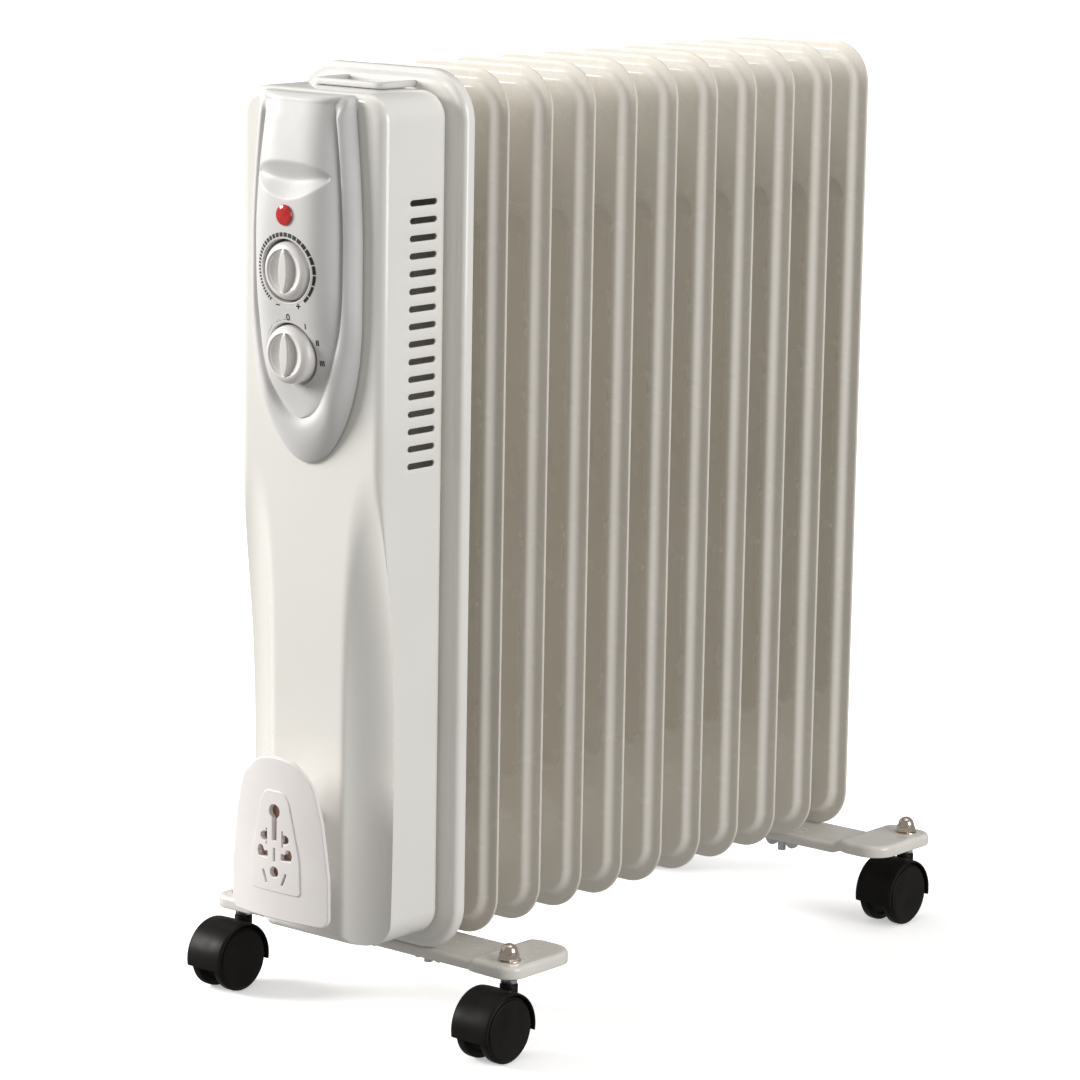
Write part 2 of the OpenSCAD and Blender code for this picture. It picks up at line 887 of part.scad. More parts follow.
// Wheel with a blind bore for the axle. side is -1 or 1 along X
module castor_wheel(index, side) {
    outer = castor_w / 2 - 0.4;
    color(nylon) at_castor(index) translate([0, -trail, wheel_r]) mirror([side < 0 ? 1 : 0, 0, 0])
        difference() {
            union() {
                rod_x(wheel_r, wheel_inner, outer - 2);
                rod_x(wheel_r - 1.5, outer - 3, outer);
            }
            difference() {
                rod_x(wheel_r - 3, wheel_inner - 1, outer - 3);
                rod_x(6, wheel_inner - 2, outer);
            }
            rod_x(axle_r + shaft_clearance, wheel_inner - 1, axle_half + 0.5);
        }
}

// ---------- drawing ----------

fin(1);  // fin_01
fin(2);  // fin_02
fin(3);  // fin_03
fin(4);  // fin_04
fin(5);  // fin_05
fin(6);  // fin_06
fin(7);  // fin_07
fin(8);  // fin_08
fin(9);  // fin_09
fin(10);  // fin_10
fin(11);  // fin_11
necks(upper_z);  // upper_necks
necks(lower_z);  // lower_necks
rim_frame();
casing_cover();
control_panel();
indicator_lens();
indicator_lamp();
knob(thermostat_z, thermostat_seat);  // thermostat_knob
shaft(thermostat_z, thermostat_seat);  // thermostat_shaft
rotary_control(thermostat_z, 17, 14, 26);  // thermostat_body
knob(power_z, power_seat);  // power_knob
shaft(power_z, power_seat);  // switch_shaft
rotary_control(power_z, 15, 15, 22);  // power_switch
control_bracket();
thermal_cutout();
terminal_block();
heating_elements();
element_flange();
flange_gasket();
filler_plug();
handle();
cord_holder();
cord_bush();
casing_screws();
front_foot();
rear_foot();
u_bolts();
wing_nuts();
cap_nuts();
castor_stem(0);  // front_left_stem
castor_hood(0);  // front_left_hood
castor_axle(0);  // front_left_axle
castor_wheel(0, -1);  // front_left_wheel_a
castor_wheel(0, 1);  // front_left_wheel_b
castor_stem(1);  // front_right_stem
castor_hood(1);  // front_right_hood
castor_axle(1);  // front_right_axle
castor_wheel(1, -1);  // front_right_wheel_a
castor_wheel(1, 1);  // front_right_wheel_b
castor_stem(2);  // rear_left_stem
castor_hood(2);  // rear_left_hood
castor_axle(2);  // rear_left_axle
castor_wheel(2, -1);  // rear_left_wheel_a
castor_wheel(2, 1);  // rear_left_wheel_b
castor_stem(3);  // rear_right_stem
castor_hood(3);  // rear_right_hood
castor_axle(3);  // rear_right_axle
castor_wheel(3, -1);  // rear_right_wheel_a
castor_wheel(3, 1);  // rear_right_wheel_b
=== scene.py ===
import json
import math

import bmesh
import bpy
import numpy as np
from mathutils import Matrix, Vector
from mathutils.geometry import delaunay_2d_cdt, tessellate_polygon


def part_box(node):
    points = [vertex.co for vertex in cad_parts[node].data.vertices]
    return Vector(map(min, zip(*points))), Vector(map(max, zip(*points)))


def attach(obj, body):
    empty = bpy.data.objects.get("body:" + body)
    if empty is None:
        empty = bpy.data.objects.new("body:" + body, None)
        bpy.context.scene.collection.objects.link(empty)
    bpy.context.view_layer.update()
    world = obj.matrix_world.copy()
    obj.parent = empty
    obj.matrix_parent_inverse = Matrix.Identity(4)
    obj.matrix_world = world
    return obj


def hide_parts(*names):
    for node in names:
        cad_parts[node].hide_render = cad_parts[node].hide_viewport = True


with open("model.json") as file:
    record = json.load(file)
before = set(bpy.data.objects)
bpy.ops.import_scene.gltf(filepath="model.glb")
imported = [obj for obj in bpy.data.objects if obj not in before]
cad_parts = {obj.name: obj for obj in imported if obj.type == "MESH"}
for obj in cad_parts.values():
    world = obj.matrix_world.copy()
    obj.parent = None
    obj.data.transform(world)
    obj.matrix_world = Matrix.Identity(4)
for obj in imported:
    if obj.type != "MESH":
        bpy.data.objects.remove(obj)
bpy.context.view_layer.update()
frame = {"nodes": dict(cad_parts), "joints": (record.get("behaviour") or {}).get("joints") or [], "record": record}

# An oil filled radiator heater. Shapes are in millimetres, with the first fin's middle plane at Y = 0,
# the casing on its -Y side, X across the fins and the floor at Z = 0.

MM = 0.001

# ---------- driving sizes ----------

second_low, second_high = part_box("fin_02")
tenth_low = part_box("fin_10")[0]
PITCH = (tenth_low.y - second_low.y) / 8 / MM
FIN_ONE_Y = (second_low.y + second_high.y) / 2 / MM - PITCH
FIN_HALF = second_high.x / MM
FIN_BOTTOM = second_low.z / MM
FIN_TOP = second_high.z / MM
FIN_RISE = (second_high.y - second_low.y) / 2 / MM
FIN_R = 29
FIN_COUNT = 11

FRAME_LOW, FRAME_HIGH = (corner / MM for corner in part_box("rim_frame"))
FRAME_HALF = FRAME_HIGH.x
FRAME_R = FIN_R + FRAME_HALF - FIN_HALF

CASING_LOW, CASING_HIGH = (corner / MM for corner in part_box("casing_cover"))
CASING_HALF = CASING_HIGH.x
CASING_FRONT = -68
CASING_BOTTOM = CASING_LOW.z
CASING_TOP = CASING_HIGH.z
CASING_R = 18

NECK_R = 26
UPPER_Z = 589.9
LOWER_Z = 106.9
KNOB_R = 19
THERMOSTAT_Z = 514.2
POWER_Z = 460.1
LAMP_Z = 550
THERMOSTAT_SEAT = -80
POWER_SEAT = -78.5
STEM_X = 120
WHEEL_R = 22.5


def in_frame(points):
    """Millimetre points, with the first fin at Y = 0, as metres in the shared frame"""
    moved = np.array(points, float).reshape(-1, 3)
    moved[:, 1] += FIN_ONE_Y
    return moved * MM


# ---------- mesh helpers ----------


class Shape:
    """Points and faces that grow into one piece. Each face holds the number of its material."""

    def __init__(self):
        self.points = []
        self.faces = []
        self.looks = []

    def add(self, points, faces, look=0):
        start = len(self.points)
        self.points.extend(np.array(points, float).reshape(-1, 3).tolist())
        self.faces.extend([[start + i for i in face] for face in faces])
        self.looks.extend([look] * len(faces))
        return self

    def loops(self, loops, look=0, closed=True, cap_first=False, cap_last=False, keep=None):
        """Quads between rows of points that have the same count. keep picks faces by their middle"""
        rows = np.array(loops, float)
        count, width = rows.shape[:2]
        last = width if closed else width - 1
        faces = []
        for i in range(count - 1):
            for j in range(last):
                k = (j + 1) % width
                if keep is not None:
                    middle = (rows[i, j] + rows[i, k] + rows[i + 1, j] + rows[i + 1, k]) / 4
                    if not keep(middle):
                        continue
                faces.append([i * width + j, i * width + k, (i + 1) * width + k, (i + 1) * width + j])
        if cap_first:
            faces.append(list(range(width))[::-1])
        if cap_last:
            faces.append([(count - 1) * width + j for j in range(width)])
        return self.add(rows, faces, look)

    def lathe(self, profile, centre, axis, steps, start=0):
        """Turns (radius, height) pairs round an axis. Radius 0 closes the end"""
        angles = np.radians(start + 360 * np.arange(steps) / steps)
        rows = []
        for radius, height in profile:
            a = radius * np.cos(angles)
            b = radius * np.sin(angles)
            h = np.full_like(a, height)
            order = {"z": (a, b, h), "y": (a, h, b), "x": (h, a, b)}[axis]
            rows.append(np.stack(order, 1) + np.array(centre))
        return self.loops(rows)


def new_object(name, data):
    thing = bpy.data.objects.new(name, data)
    bpy.context.scene.collection.objects.link(thing)
    return thing


def piece(name, shape, looks, body="root", stands_for=(), crease=40, weld=0.0004):
    """Makes a Blender object of a shape, gives it its finishes, ties it to its body and hides the CAD nodes it
    stands for
    """
    mesh = bpy.data.meshes.new(name)
    mesh.from_pydata(in_frame(shape.points).tolist(), [], shape.faces)
    mesh.polygons.foreach_set("material_index", shape.looks)
    work = bmesh.new()
    work.from_mesh(mesh)
    bmesh.ops.remove_doubles(work, verts=work.verts, dist=weld * MM)
    bmesh.ops.dissolve_degenerate(work, edges=work.edges, dist=weld * MM)
    bmesh.ops.recalc_face_normals(work, faces=work.faces)
    work.to_mesh(mesh)
    work.free()
    mesh.polygons.foreach_set("use_smooth", [True] * len(mesh.polygons))
    mesh.set_sharp_from_angle(angle=math.radians(crease))
    return finish_piece(name, mesh, looks, body, stands_for)


def finish_piece(name, mesh, looks, body, stands_for, y=0.0):
    mesh.materials.clear()
    for look in looks:
        mesh.materials.append(LOOKS[look])
    thing = new_object(name, mesh)
    thing.location.y = y * MM
    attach(thing, body)
    if stands_for:
        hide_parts(*stands_for)
    return thing


def spread(low, high, step):
    """Even values from low up to, but without, high"""
    count = max(1, round(abs(high - low) / step))
    return [low + (high - low) * i / count for i in range(count)]


def rounded_loop(half, bottom, top, r, step=20.0, corner=12, side=None):
    """Rounded rectangle in X and Z, clockwise from its upper left corner's end. side holds the places
    along the straight sides, from 0 at the top to 1 at the bottom"""
    across = half - r
    count = max(1, round(2 * (FIN_HALF - FIN_R) / step))
    down = side or [i / 28 for i in range(28)]
    turn = [math.radians(90 * i / corner) for i in range(corner)]
    high = top - r
    low = bottom + r
    points = [(-across + 2 * across * i / count, top) for i in range(count)]
    points += [(across + r * math.sin(a), high + r * math.cos(a)) for a in turn]
    points += [(half, high + (low - high) * t) for t in down]
    points += [(across + r * math.cos(a), low - r * math.sin(a)) for a in turn]
    # The other half is the same, turned round the middle
    points = np.array(points)
    return np.concatenate([points, np.array([0, bottom + top]) - points])


def xyz(x, y, z):
    """Points from their three coordinates, each one number or an array"""
    return np.stack(np.broadcast_arrays(x, y, z), -1)


def at_y(loop, y):
    """A loop in X and Z put at a depth"""
    return xyz(loop[:, 0], y, loop[:, 1])


def quarter_round(steps):
    """Pairs that run along a quarter circle, from (1, 0) to (0, 1)"""
    angles = [math.radians(90 * i / steps) for i in range(steps + 1)]
    return [(1 - math.sin(a), 1 - math.cos(a)) for a in angles]


def rounded_corners(corners, steps=8):
    """Closed outline through (x, y, radius) corners, each one rounded by an arc"""
    points = []
    for i, (x, y, r) in enumerate(corners):
        here = Vector((x, y))
        before = (Vector(corners[i - 1][:2]) - here).normalized()
        after = (Vector(corners[(i + 1) % len(corners)][:2]) - here).normalized()
        half = math.acos(max(-1, min(1, before.dot(after)))) / 2
        if r <= 0 or half < 0.01 or half > 1.56:
            points.append(tuple(here))
            continue
        centre = here + (before + after).normalized() * (r / math.sin(half))
        first = here + before * (r / math.tan(half)) - centre
        last = here + after * (r / math.tan(half)) - centre
        turn = first.angle_signed(last)
        for k in range(steps + 1):
            points.append(tuple(centre + Matrix.Rotation(-turn * k / steps, 2) @ first))
    return np.array(points)


def both_sides(corners):
    """Corners (x, y, radius) and their mirror images, in turn"""
    return corners + [(-x, y, r) for x, y, r in reversed(corners)]


def circle_loop(x, y, r, steps=24):
    angles = np.radians(360 * np.arange(steps) / steps)
    return np.stack([x + r * np.cos(angles), y + r * np.sin(angles)], 1)


def offset_loop(loop, amount):
    """Moves a closed outline's points outwards by an amount"""
    along = np.roll(loop, -1, 0) - np.roll(loop, 1, 0)
    out = np.stack([along[:, 1], -along[:, 0]], 1)
    out /= np.maximum(np.linalg.norm(out, axis=1, keepdims=True), 1e-9)
    area = np.sum(loop[:, 0] * np.roll(loop[:, 1], -1) - np.roll(loop[:, 0], -1) * loop[:, 1])
    return loop + out * amount * (1 if area > 0 else -1)


def plate(outer, holes, thickness, bevel, cuts):
    """A flat plate, as points (u, v, depth) and faces. Depth is 0 at its front, whose edges are rounded.
    cuts are values of u at which the faces are split, so that the plate can then be bent"""
    mesh = bmesh.new()
    fronts = []
    backs = []
    for number, loop in enumerate([outer, *holes]):
        sign = -1 if number == 0 else 1
        rows = []
        for away, deep in quarter_round(3):
            shifted = offset_loop(loop, sign * bevel * away)
            rows.append([mesh.verts.new((u, v, bevel * deep)) for u, v in shifted])
        rows.append([mesh.verts.new((u, v, thickness)) for u, v in loop])
        for near, far in zip(rows, rows[1:]):
            for j in range(len(near)):
                k = (j + 1) % len(near)
                mesh.faces.new((near[j], near[k], far[k], far[j]))
        fronts.append(rows[0])
        backs.append(rows[-1])
    for level in (fronts, backs):
        flat = [v for loop in level for v in loop]
        for triangle in tessellate_polygon([[v.co.to_2d().to_3d() for v in loop] for loop in level]):
            mesh.faces.new([flat[i] for i in triangle])
    for u in cuts:
        whole = mesh.verts[:] + mesh.edges[:] + mesh.faces[:]
        bmesh.ops.bisect_plane(mesh, geom=whole, plane_co=(u, 0, 0), plane_no=(1, 0, 0))
    mesh.verts.index_update()
    points = np.array([v.co for v in mesh.verts])
    faces = [[v.index for v in face.verts] for face in mesh.faces]
    mesh.free()
    return points, faces


def smooth_step(value, low, high):
    t = np.clip((np.asarray(value, float) - low) / (high - low), 0, 1)
    return t * t * (3 - 2 * t)


def even_normals(thing):
    """Keeps broad flat faces flat next to their rounded edges"""
    modifier = thing.modifiers.new("even_normals", "WEIGHTED_NORMAL")
    modifier.keep_sharp = True


# ---------- materials ----------


def add_node(tree, kind, place, **values):
    """A shader node with values on its sockets"""
    node = tree.nodes.new("ShaderNode" + kind)
    node.location = place
    for socket, value in values.items():
        node.inputs[socket.replace("_", " ")].default_value = value
    return node


def noise_of(tree, scale, detail, y):
    coords = add_node(tree, "TexCoord", (-1050, y))
    noise = add_node(tree, "TexNoise", (-800, y), Scale=scale, Detail=detail)
    tree.links.new(coords.outputs["Object"], noise.inputs["Vector"])
    return noise.outputs["Fac"]


def between(tree, value, low, high, y):
    """A number that runs from low to high as value runs from 0.3 to 0.7"""
    span = add_node(tree, "MapRange", (-500, y), From_Min=0.3, From_Max=0.7, To_Min=low, To_Max=high)
    tree.links.new(value, span.inputs["Value"])
    return span.outputs["Result"]


# The finishes by name
LOOKS = {}


def finish_look(name, dark, light, patch, rough, rough_scale, bumps, **sockets):
    """A surface finish. Its colour wanders between two tones in patches, its roughness between two values,
    and each bump is (scale, height in metres)"""
    look = bpy.data.materials.new(name)
    look.use_nodes = True
    tree = look.node_tree
    shader = tree.nodes["Principled BSDF"]
    tone = add_node(tree, "Mix", (-250, 300))
    tone.data_type = "RGBA"
    tone.inputs[6].default_value = (*dark, 1)
    tone.inputs[7].default_value = (*light, 1)
    tree.links.new(between(tree, noise_of(tree, patch, 4, 300), 0, 1, 300), tone.inputs[0])
    tree.links.new(tone.outputs[2], shader.inputs["Base Color"])
    tree.links.new(between(tree, noise_of(tree, rough_scale, 3, 0), *rough, 0), shader.inputs["Roughness"])
    normal = shader.inputs["Normal"]
    for i, (scale, height) in reversed(list(enumerate(bumps))):
        y = -250 - 250 * i
        bump = add_node(tree, "Bump", (-250, y), Strength=1, Distance=height)
        tree.links.new(noise_of(tree, scale, 2, y), bump.inputs["Height"])
        tree.links.new(bump.outputs["Normal"], normal)
        normal = bump.inputs["Normal"]
    for socket, value in sockets.items():
        shader.inputs[socket.replace("_", " ")].default_value = value
    LOOKS[name] = look
    return look


# Glossy stoved enamel: slow tone shifts, a faint orange peel and a slow waviness of the pressed sheet
finish_look("fin_enamel", (0.735, 0.70, 0.635), (0.765, 0.73, 0.665), 14, (0.20, 0.30), 60,
    [(420, 0.000035), (38, 0.00008)], Coat_Weight=0.35, Coat_Roughness=0.10)
finish_look("casing_enamel", (0.775, 0.760, 0.720), (0.815, 0.800, 0.765), 9, (0.16, 0.24), 50,
    [(420, 0.00003), (22, 0.00012)], Coat_Weight=0.5, Coat_Roughness=0.06)
finish_look("foot_enamel", (0.70, 0.67, 0.63), (0.76, 0.735, 0.695), 30, (0.18, 0.30), 70,
    [(420, 0.00004), (60, 0.0001)], Coat_Weight=0.4, Coat_Roughness=0.08)
finish_look("panel_moulding", (0.60, 0.592, 0.583), (0.645, 0.637, 0.628), 25, (0.40, 0.50), 90,
    [(2600, 0.000012), (180, 0.00002)], Specular_IOR_Level=0.35)
finish_look("knob_moulding", (0.68, 0.66, 0.645), (0.72, 0.70, 0.685), 40, (0.28, 0.36), 120,
    [(2600, 0.00001)], Coat_Weight=0.15, Coat_Roughness=0.2)
finish_look("holder_moulding", (0.78, 0.745, 0.73), (0.82, 0.79, 0.775), 25, (0.34, 0.44), 90,
    [(2600, 0.000012), (150, 0.00002)])
# Dark warm brown for the hollow behind the parking holes: painted shade, not a colour of the moulding
finish_look("holder_painted_shade", (0.52, 0.32, 0.25), (0.60, 0.37, 0.29), 60, (0.45, 0.6), 120,
    [(1800, 0.00002)])
finish_look("black_nylon", (0.006, 0.0056, 0.0052), (0.012, 0.0108, 0.010), 55, (0.34, 0.50), 75,
    [(3200, 0.00003), (120, 0.00005)], Specular_IOR_Level=0.1)
finish_look("nickel_plate", (0.56, 0.49, 0.43), (0.68, 0.61, 0.54), 120, (0.14, 0.26), 300,
    [(900, 0.00001)], Metallic=1.0)
finish_look("zinc_plate", (0.50, 0.51, 0.52), (0.66, 0.67, 0.68), 160, (0.25, 0.42), 350,
    [(1400, 0.00002)], Metallic=1.0)
finish_look("red_lens", (0.42, 0.006, 0.008), (0.62, 0.020, 0.018), 180, (0.06, 0.12), 200,
    [(700, 0.00001)], Coat_Weight=1.0, Coat_Roughness=0.03)
finish_look("ink", (0.004, 0.004, 0.004), (0.007, 0.007, 0.007), 300, (0.45, 0.6), 300, [(2500, 0.000008)])
finish_look("bush_rubber", (0.012, 0.012, 0.012), (0.022, 0.021, 0.020), 90, (0.55, 0.75), 120,
    [(1500, 0.00004)])
finish_look("control_plastic", (0.02, 0.02, 0.022), (0.035, 0.035, 0.037), 60, (0.4, 0.55), 90,
    [(1800, 0.00002)])
finish_look("element_steel", (0.16, 0.13, 0.11), (0.28, 0.25, 0.22), 45, (0.35, 0.55), 120,
    [(900, 0.00003)], Metallic=1.0)
finish_look("gasket_fibre", (0.05, 0.05, 0.048), (0.09, 0.09, 0.085), 200, (0.7, 0.9), 200,
    [(1200, 0.00008)])
finish_look("block_ceramic", (0.66, 0.62, 0.53), (0.74, 0.70, 0.62), 70, (0.5, 0.65), 90,
    [(1100, 0.00003)])
finish_look("lamp_glass", (0.75, 0.32, 0.14), (0.85, 0.45, 0.22), 120, (0.05, 0.12), 200,
    [(500, 0.00001)], Transmission_Weight=0.6)


# ---------- fins ----------

# Height of the pressed sheet above the fin's middle plane, at distances in from its outline
RIM_PROFILE = [
    (0.35, 0.0), (0.05, 0.25), (0.0, 0.55), (0.2, 0.85), (0.6, 1.0), (3.0, 1.05), (5.6, 1.1), (6.6, 1.25),
    (7.4, 1.65), (8.2, 2.4), (9.0, 3.4), (9.8, 4.4), (10.7, 5.25), (11.7, 5.8), (12.9, 6.0),
]
# The same, at distances in from the shallow middle panel's outline
DIP_PROFILE = [
    (0.0, 6.0), (1.0, 5.9), (1.9, 5.55), (2.8, 4.9), (3.7, 4.1), (4.6, 3.4), (5.6, 2.9), (6.8, 2.65), (8.4, 2.6),
]
DIP_SIDE = 14
DIP_END = 96
DIP_R = 14


def fin_rows(flatten=1.0, lift=0.0):
    """Rows of one side of a fin, from its edge to the middle"""
    rows = []
    for inset, height in RIM_PROFILE:
        loop = rounded_loop(FIN_HALF - inset, FIN_BOTTOM + inset, FIN_TOP - inset, FIN_R - inset)
        rows.append(at_y(loop, lift + height * flatten))
    for inset, height in DIP_PROFILE:
        side = FIN_HALF - DIP_SIDE - inset
        loop = rounded_loop(side, FIN_BOTTOM + DIP_END + inset, FIN_TOP - DIP_END - inset, DIP_R - inset)
        rows.append(at_y(loop, lift + height * flatten))
    return rows


def mirrored(rows):
    return [row * np.array([1, -1, 1]) for row in rows]


def make_fins():
    shape = Shape()
    shape.loops(fin_rows(), cap_last=True)
    shape.loops(mirrored(fin_rows()), cap_last=True)
    second = piece("fin_02_sheet", shape, ["fin_enamel"], stands_for=["fin_02"])
    mesh = second.data
    for i in range(2, FIN_COUNT):
        number = i + 1
        finish_piece(f"fin_{number:02d}_sheet", mesh, ["fin_enamel"], "root",
            [f"fin_{number:02d}"], y=i * PITCH)
    second.location.y = PITCH * MM
    first = Shape()
    front = 1.6
    rows = fin_rows(flatten=(FIN_RISE - front) / FIN_RISE, lift=front)
    first.loops([at_y(rows[0][:, [0, 2]], front)] + rows, cap_first=True, cap_last=True)
    piece("fin_01_sheet", first, ["fin_enamel"], stands_for=["fin_01"])


def make_necks():
    """Header necks with a flare where they meet each fin"""
    near = FIN_RISE
    far = PITCH - FIN_RISE
    flare = 3.0
    half = [(NECK_R + flare * r, flare * h) for r, h in quarter_round(6)]
    profile = [(r, near + h) for r, h in half] + [(r, far - h) for r, h in reversed(half)]
    for name, z in (("upper", UPPER_Z), ("lower", LOWER_Z)):
        shape = Shape()
        for i in range(FIN_COUNT - 1):
            shape.lathe(profile, (0, i * PITCH, z), "y", 72)
        piece(f"{name}_header_necks", shape, ["fin_enamel"], stands_for=[f"{name}_necks"])


# ---------- rim frame ----------

# Section of the bead: distance in from the outline, and depth
BEAD = [
    (20.0, -2.9), (12.0, -3.1), (9.6, -3.1), (8.4, -3.0), (7.5, -2.85), (6.7, -2.7), (5.8, -2.7),
    (4.8, -2.85), (3.7, -3.0), (2.7, -2.95), (1.8, -2.6), (1.0, -1.9), (0.4, -0.9), (0.08, 0.2),
    (0.0, 1.4), (0.0, 4.9), (0.15, 5.5), (0.5, 5.85), (1.0, 6.0), (1.6, 5.85), (2.0, 5.4), (2.1, 4.6), (2.1, 2.2),
]


def make_rim_frame():
    rows = []
    for inset, y in BEAD:
        loop = rounded_loop(FRAME_HALF - inset, FRAME_LOW.z + inset, FRAME_HIGH.z - inset, FRAME_R - inset,
            corner=24)
        rows.append(at_y(loop, y))
    piece("rim_bead", Shape().loops(rows), ["casing_enamel"], stands_for=["rim_frame"], crease=60)


# ---------- casing ----------

VENT_COUNT = 16
VENT_PITCH = 11.3
VENT_TOP = 558.5
VENT_Y = -29.0
VENT_HALF = 13.0
VENT_R = 2.0
PATCH_Y = (-52.0, -12.0)
PATCH_Z = (VENT_TOP + VENT_PITCH / 2 - VENT_COUNT * VENT_PITCH, VENT_TOP + VENT_PITCH / 2)
WELL_HALF = 80 / 3
WELL_Y = (-29.6, -12.0)
FRONT_R = 7
REAR_CURL = [(6.6, -3.2), (5.4, -4.4), (4.2, -5.3), (3.0, -6.3), (1.9, -7.4), (1.0, -8.7), (0.35, -10.2)]
FLUTE_R = 42
FLUTE_BEND = 953
FLUTE_AT = np.array([64.2, -94, 185])
FLUTE_ANGLE = 30
FLUTE_SOFT = 2.6


def casing_loop(inset):
    """One outline of the casing. Its side places line up with the vent patch"""
    high = CASING_TOP - CASING_R
    low = CASING_BOTTOM + CASING_R
    places = spread(high, PATCH_Z[1], 1.53) + spread(PATCH_Z[1], PATCH_Z[0], VENT_PITCH / 8)
    places += spread(PATCH_Z[0], low, 1.5)
    side = [(z - high) / (low - high) for z in places]
    return rounded_loop(CASING_HALF - inset, CASING_BOTTOM + inset, CASING_TOP - inset, max(CASING_R - inset, 1.5),
        step=2 * (FIN_HALF - FIN_R) / 66, corner=16, side=side)


def press_flute(points, side):
    """Pushes points out of a long curved tube that presses each lower front edge in"""
    turn = math.radians(FLUTE_ANGLE)
    outward = np.array([side * math.sin(turn), math.cos(turn), 0])
    at = FLUTE_AT * np.array([side, 1, 1])
    centre = at - outward * FLUTE_BEND
    off = points - centre
    a = off @ outward
    # The tube bends back above its middle, and less below it
    b = np.where(off[:, 2] > 0, off[:, 2], 0.6 * off[:, 2])
    reach = np.sqrt(a * a + b * b)
    upright = np.array([0, 0, 1])
    middle = centre + (outward * a[:, None] + upright * b[:, None]) * (FLUTE_BEND / reach)[:, None]
    middle += upright * (off[:, 2] - b)[:, None]
    away = points - middle
    distance = np.linalg.norm(away, axis=1)
    overlap = np.maximum(FLUTE_SOFT - np.abs(distance - FLUTE_R), 0)
    pushed = np.maximum(distance, FLUTE_R) + overlap ** 2 / (4 * FLUTE_SOFT)
    return middle + away * (pushed / distance)[:, None]


def keep_casing(middle):
    in_vents = PATCH_Y[0] < middle[1] < PATCH_Y[1] and PATCH_Z[0] < middle[2] < PATCH_Z[1]
    in_well = WELL_Y[0] < middle[1] < WELL_Y[1] and abs(middle[0]) < WELL_HALF and middle[2] > CASING_TOP - 1
    return not ((in_vents and abs(middle[0]) > CASING_HALF - 1) or in_well)


def vent_cell(shape, side, z):
    """A flat cell of the casing's side with one slot through it"""
    near, far = PATCH_Y
    half = VENT_PITCH / 2
    ring = []
    edge = []
    for end, limit in ((1, far), (-1, near)):
        centre = VENT_Y + end * (VENT_HALF - VENT_R)
        reach = abs(limit - centre)
        corner = math.degrees(math.atan2(half, reach))
        for a in [-90, -70, -corner, -20, -8, 8, 20, corner, 70, 90]:
            angle = math.radians(a)
            ring.append((centre + end * VENT_R * math.cos(angle), end * VENT_R * math.sin(angle)))
            scale = min(reach / max(math.cos(angle), 1e-9), half / max(abs(math.sin(angle)), 1e-9))
            edge.append((centre + end * scale * math.cos(angle), end * scale * math.sin(angle)))
    ring = np.array(ring)
    rows = []
    for loop, sink in ((np.array(edge), 0), (offset_loop(ring, 0.35), 0), (offset_loop(ring, 0.1), 0.1),
            (ring, 0.35), (ring, 1.3)):
        x = side * (CASING_HALF - sink)
        rows.append(xyz(x, loop[:, 0], z + loop[:, 1]))
    shape.loops(rows)


def make_casing():
    rows = [at_y(casing_loop(inset), y) for inset, y in REAR_CURL]
    # Rows pass both edges of the vent patch
    straight = [PATCH_Y[1] - 1.6 * k for k in range(26)] + [-53.5, -55, -56.5]
    rows += [at_y(casing_loop(0), y) for y in straight]
    rows += [at_y(casing_loop(FRONT_R * inset), CASING_FRONT + FRONT_R * y) for y, inset in quarter_round(9)]
    last = CASING_HALF - 3
    for inset in spread(FRONT_R, last, 1.5)[1:] + [last]:
        rows.append(at_y(casing_loop(inset), CASING_FRONT))
    rows = np.array(rows)
    flat = rows.reshape(-1, 3)
    for side in (-1, 1):
        flat = press_flute(flat, side)
    shape = Shape()
    shape.loops(flat.reshape(rows.shape), cap_last=True, keep=keep_casing)
    for side in (-1, 1):
        for i in range(VENT_COUNT):
            vent_cell(shape, side, VENT_TOP - i * VENT_PITCH)
    piece("casing_sheet", shape, ["casing_enamel"], stands_for=["casing_cover"], crease=50)


# ---------- control panel ----------

OUTER = {"half": 46.5, "low": 388, "mid": 483, "wide": 530, "top": 626.5, "top_half": 38.8}
INNER = {"half": 36.8, "low": 418, "mid": 510, "wide": 535, "top": 621.5, "top_half": 29.2}
CROWN_FRONT = -92.2
CROWN_BOW = 400
CROWN_Z = 540
# Depth of the crown's edge, where the ridge begins
CROWN_EDGE = -77.8
# How far that edge comes forward, and the heights between which it does
EDGE_RISE = 1.7
EDGE_RISE_Z = (443, 485)
# Depth that the crown keeps at its lower tip
CROWN_TIP = -76.0
RIDGE_HEIGHT = 1.7
TOP_R = 5.0
SEAT_R = 20.5
RECESS_Z = 574
RECESS_HALF = 32
RECESS_UP = 10
RECESS_DOWN = 14
RECESS_DEPTH = 6.5
PANEL_ROWS = 230
PANEL_COLUMNS = 96
# Rows that lie close together near the rounded lower end
TIP_ROWS = 23


def shield_half(z, form):
    """Half the width of a shield outline at a height"""
    z = np.asarray(z, float)
    low = form["half"] * np.sqrt(np.clip(1 - ((form["mid"] - z) / (form["mid"] - form["low"])) ** 2, 0, 1))
    taper = np.clip((z - form["wide"]) / (form["top"] - form["wide"]), 0, 1) ** 1.6
    high = form["half"] - (form["half"] - form["top_half"]) * taper
    return np.where(z < form["mid"], low, np.where(z < form["wide"], form["half"], high))


def soft_min(a, b, soft):
    return (a + b) / 2 - np.sqrt(((a - b) / 2) ** 2 + soft ** 2)


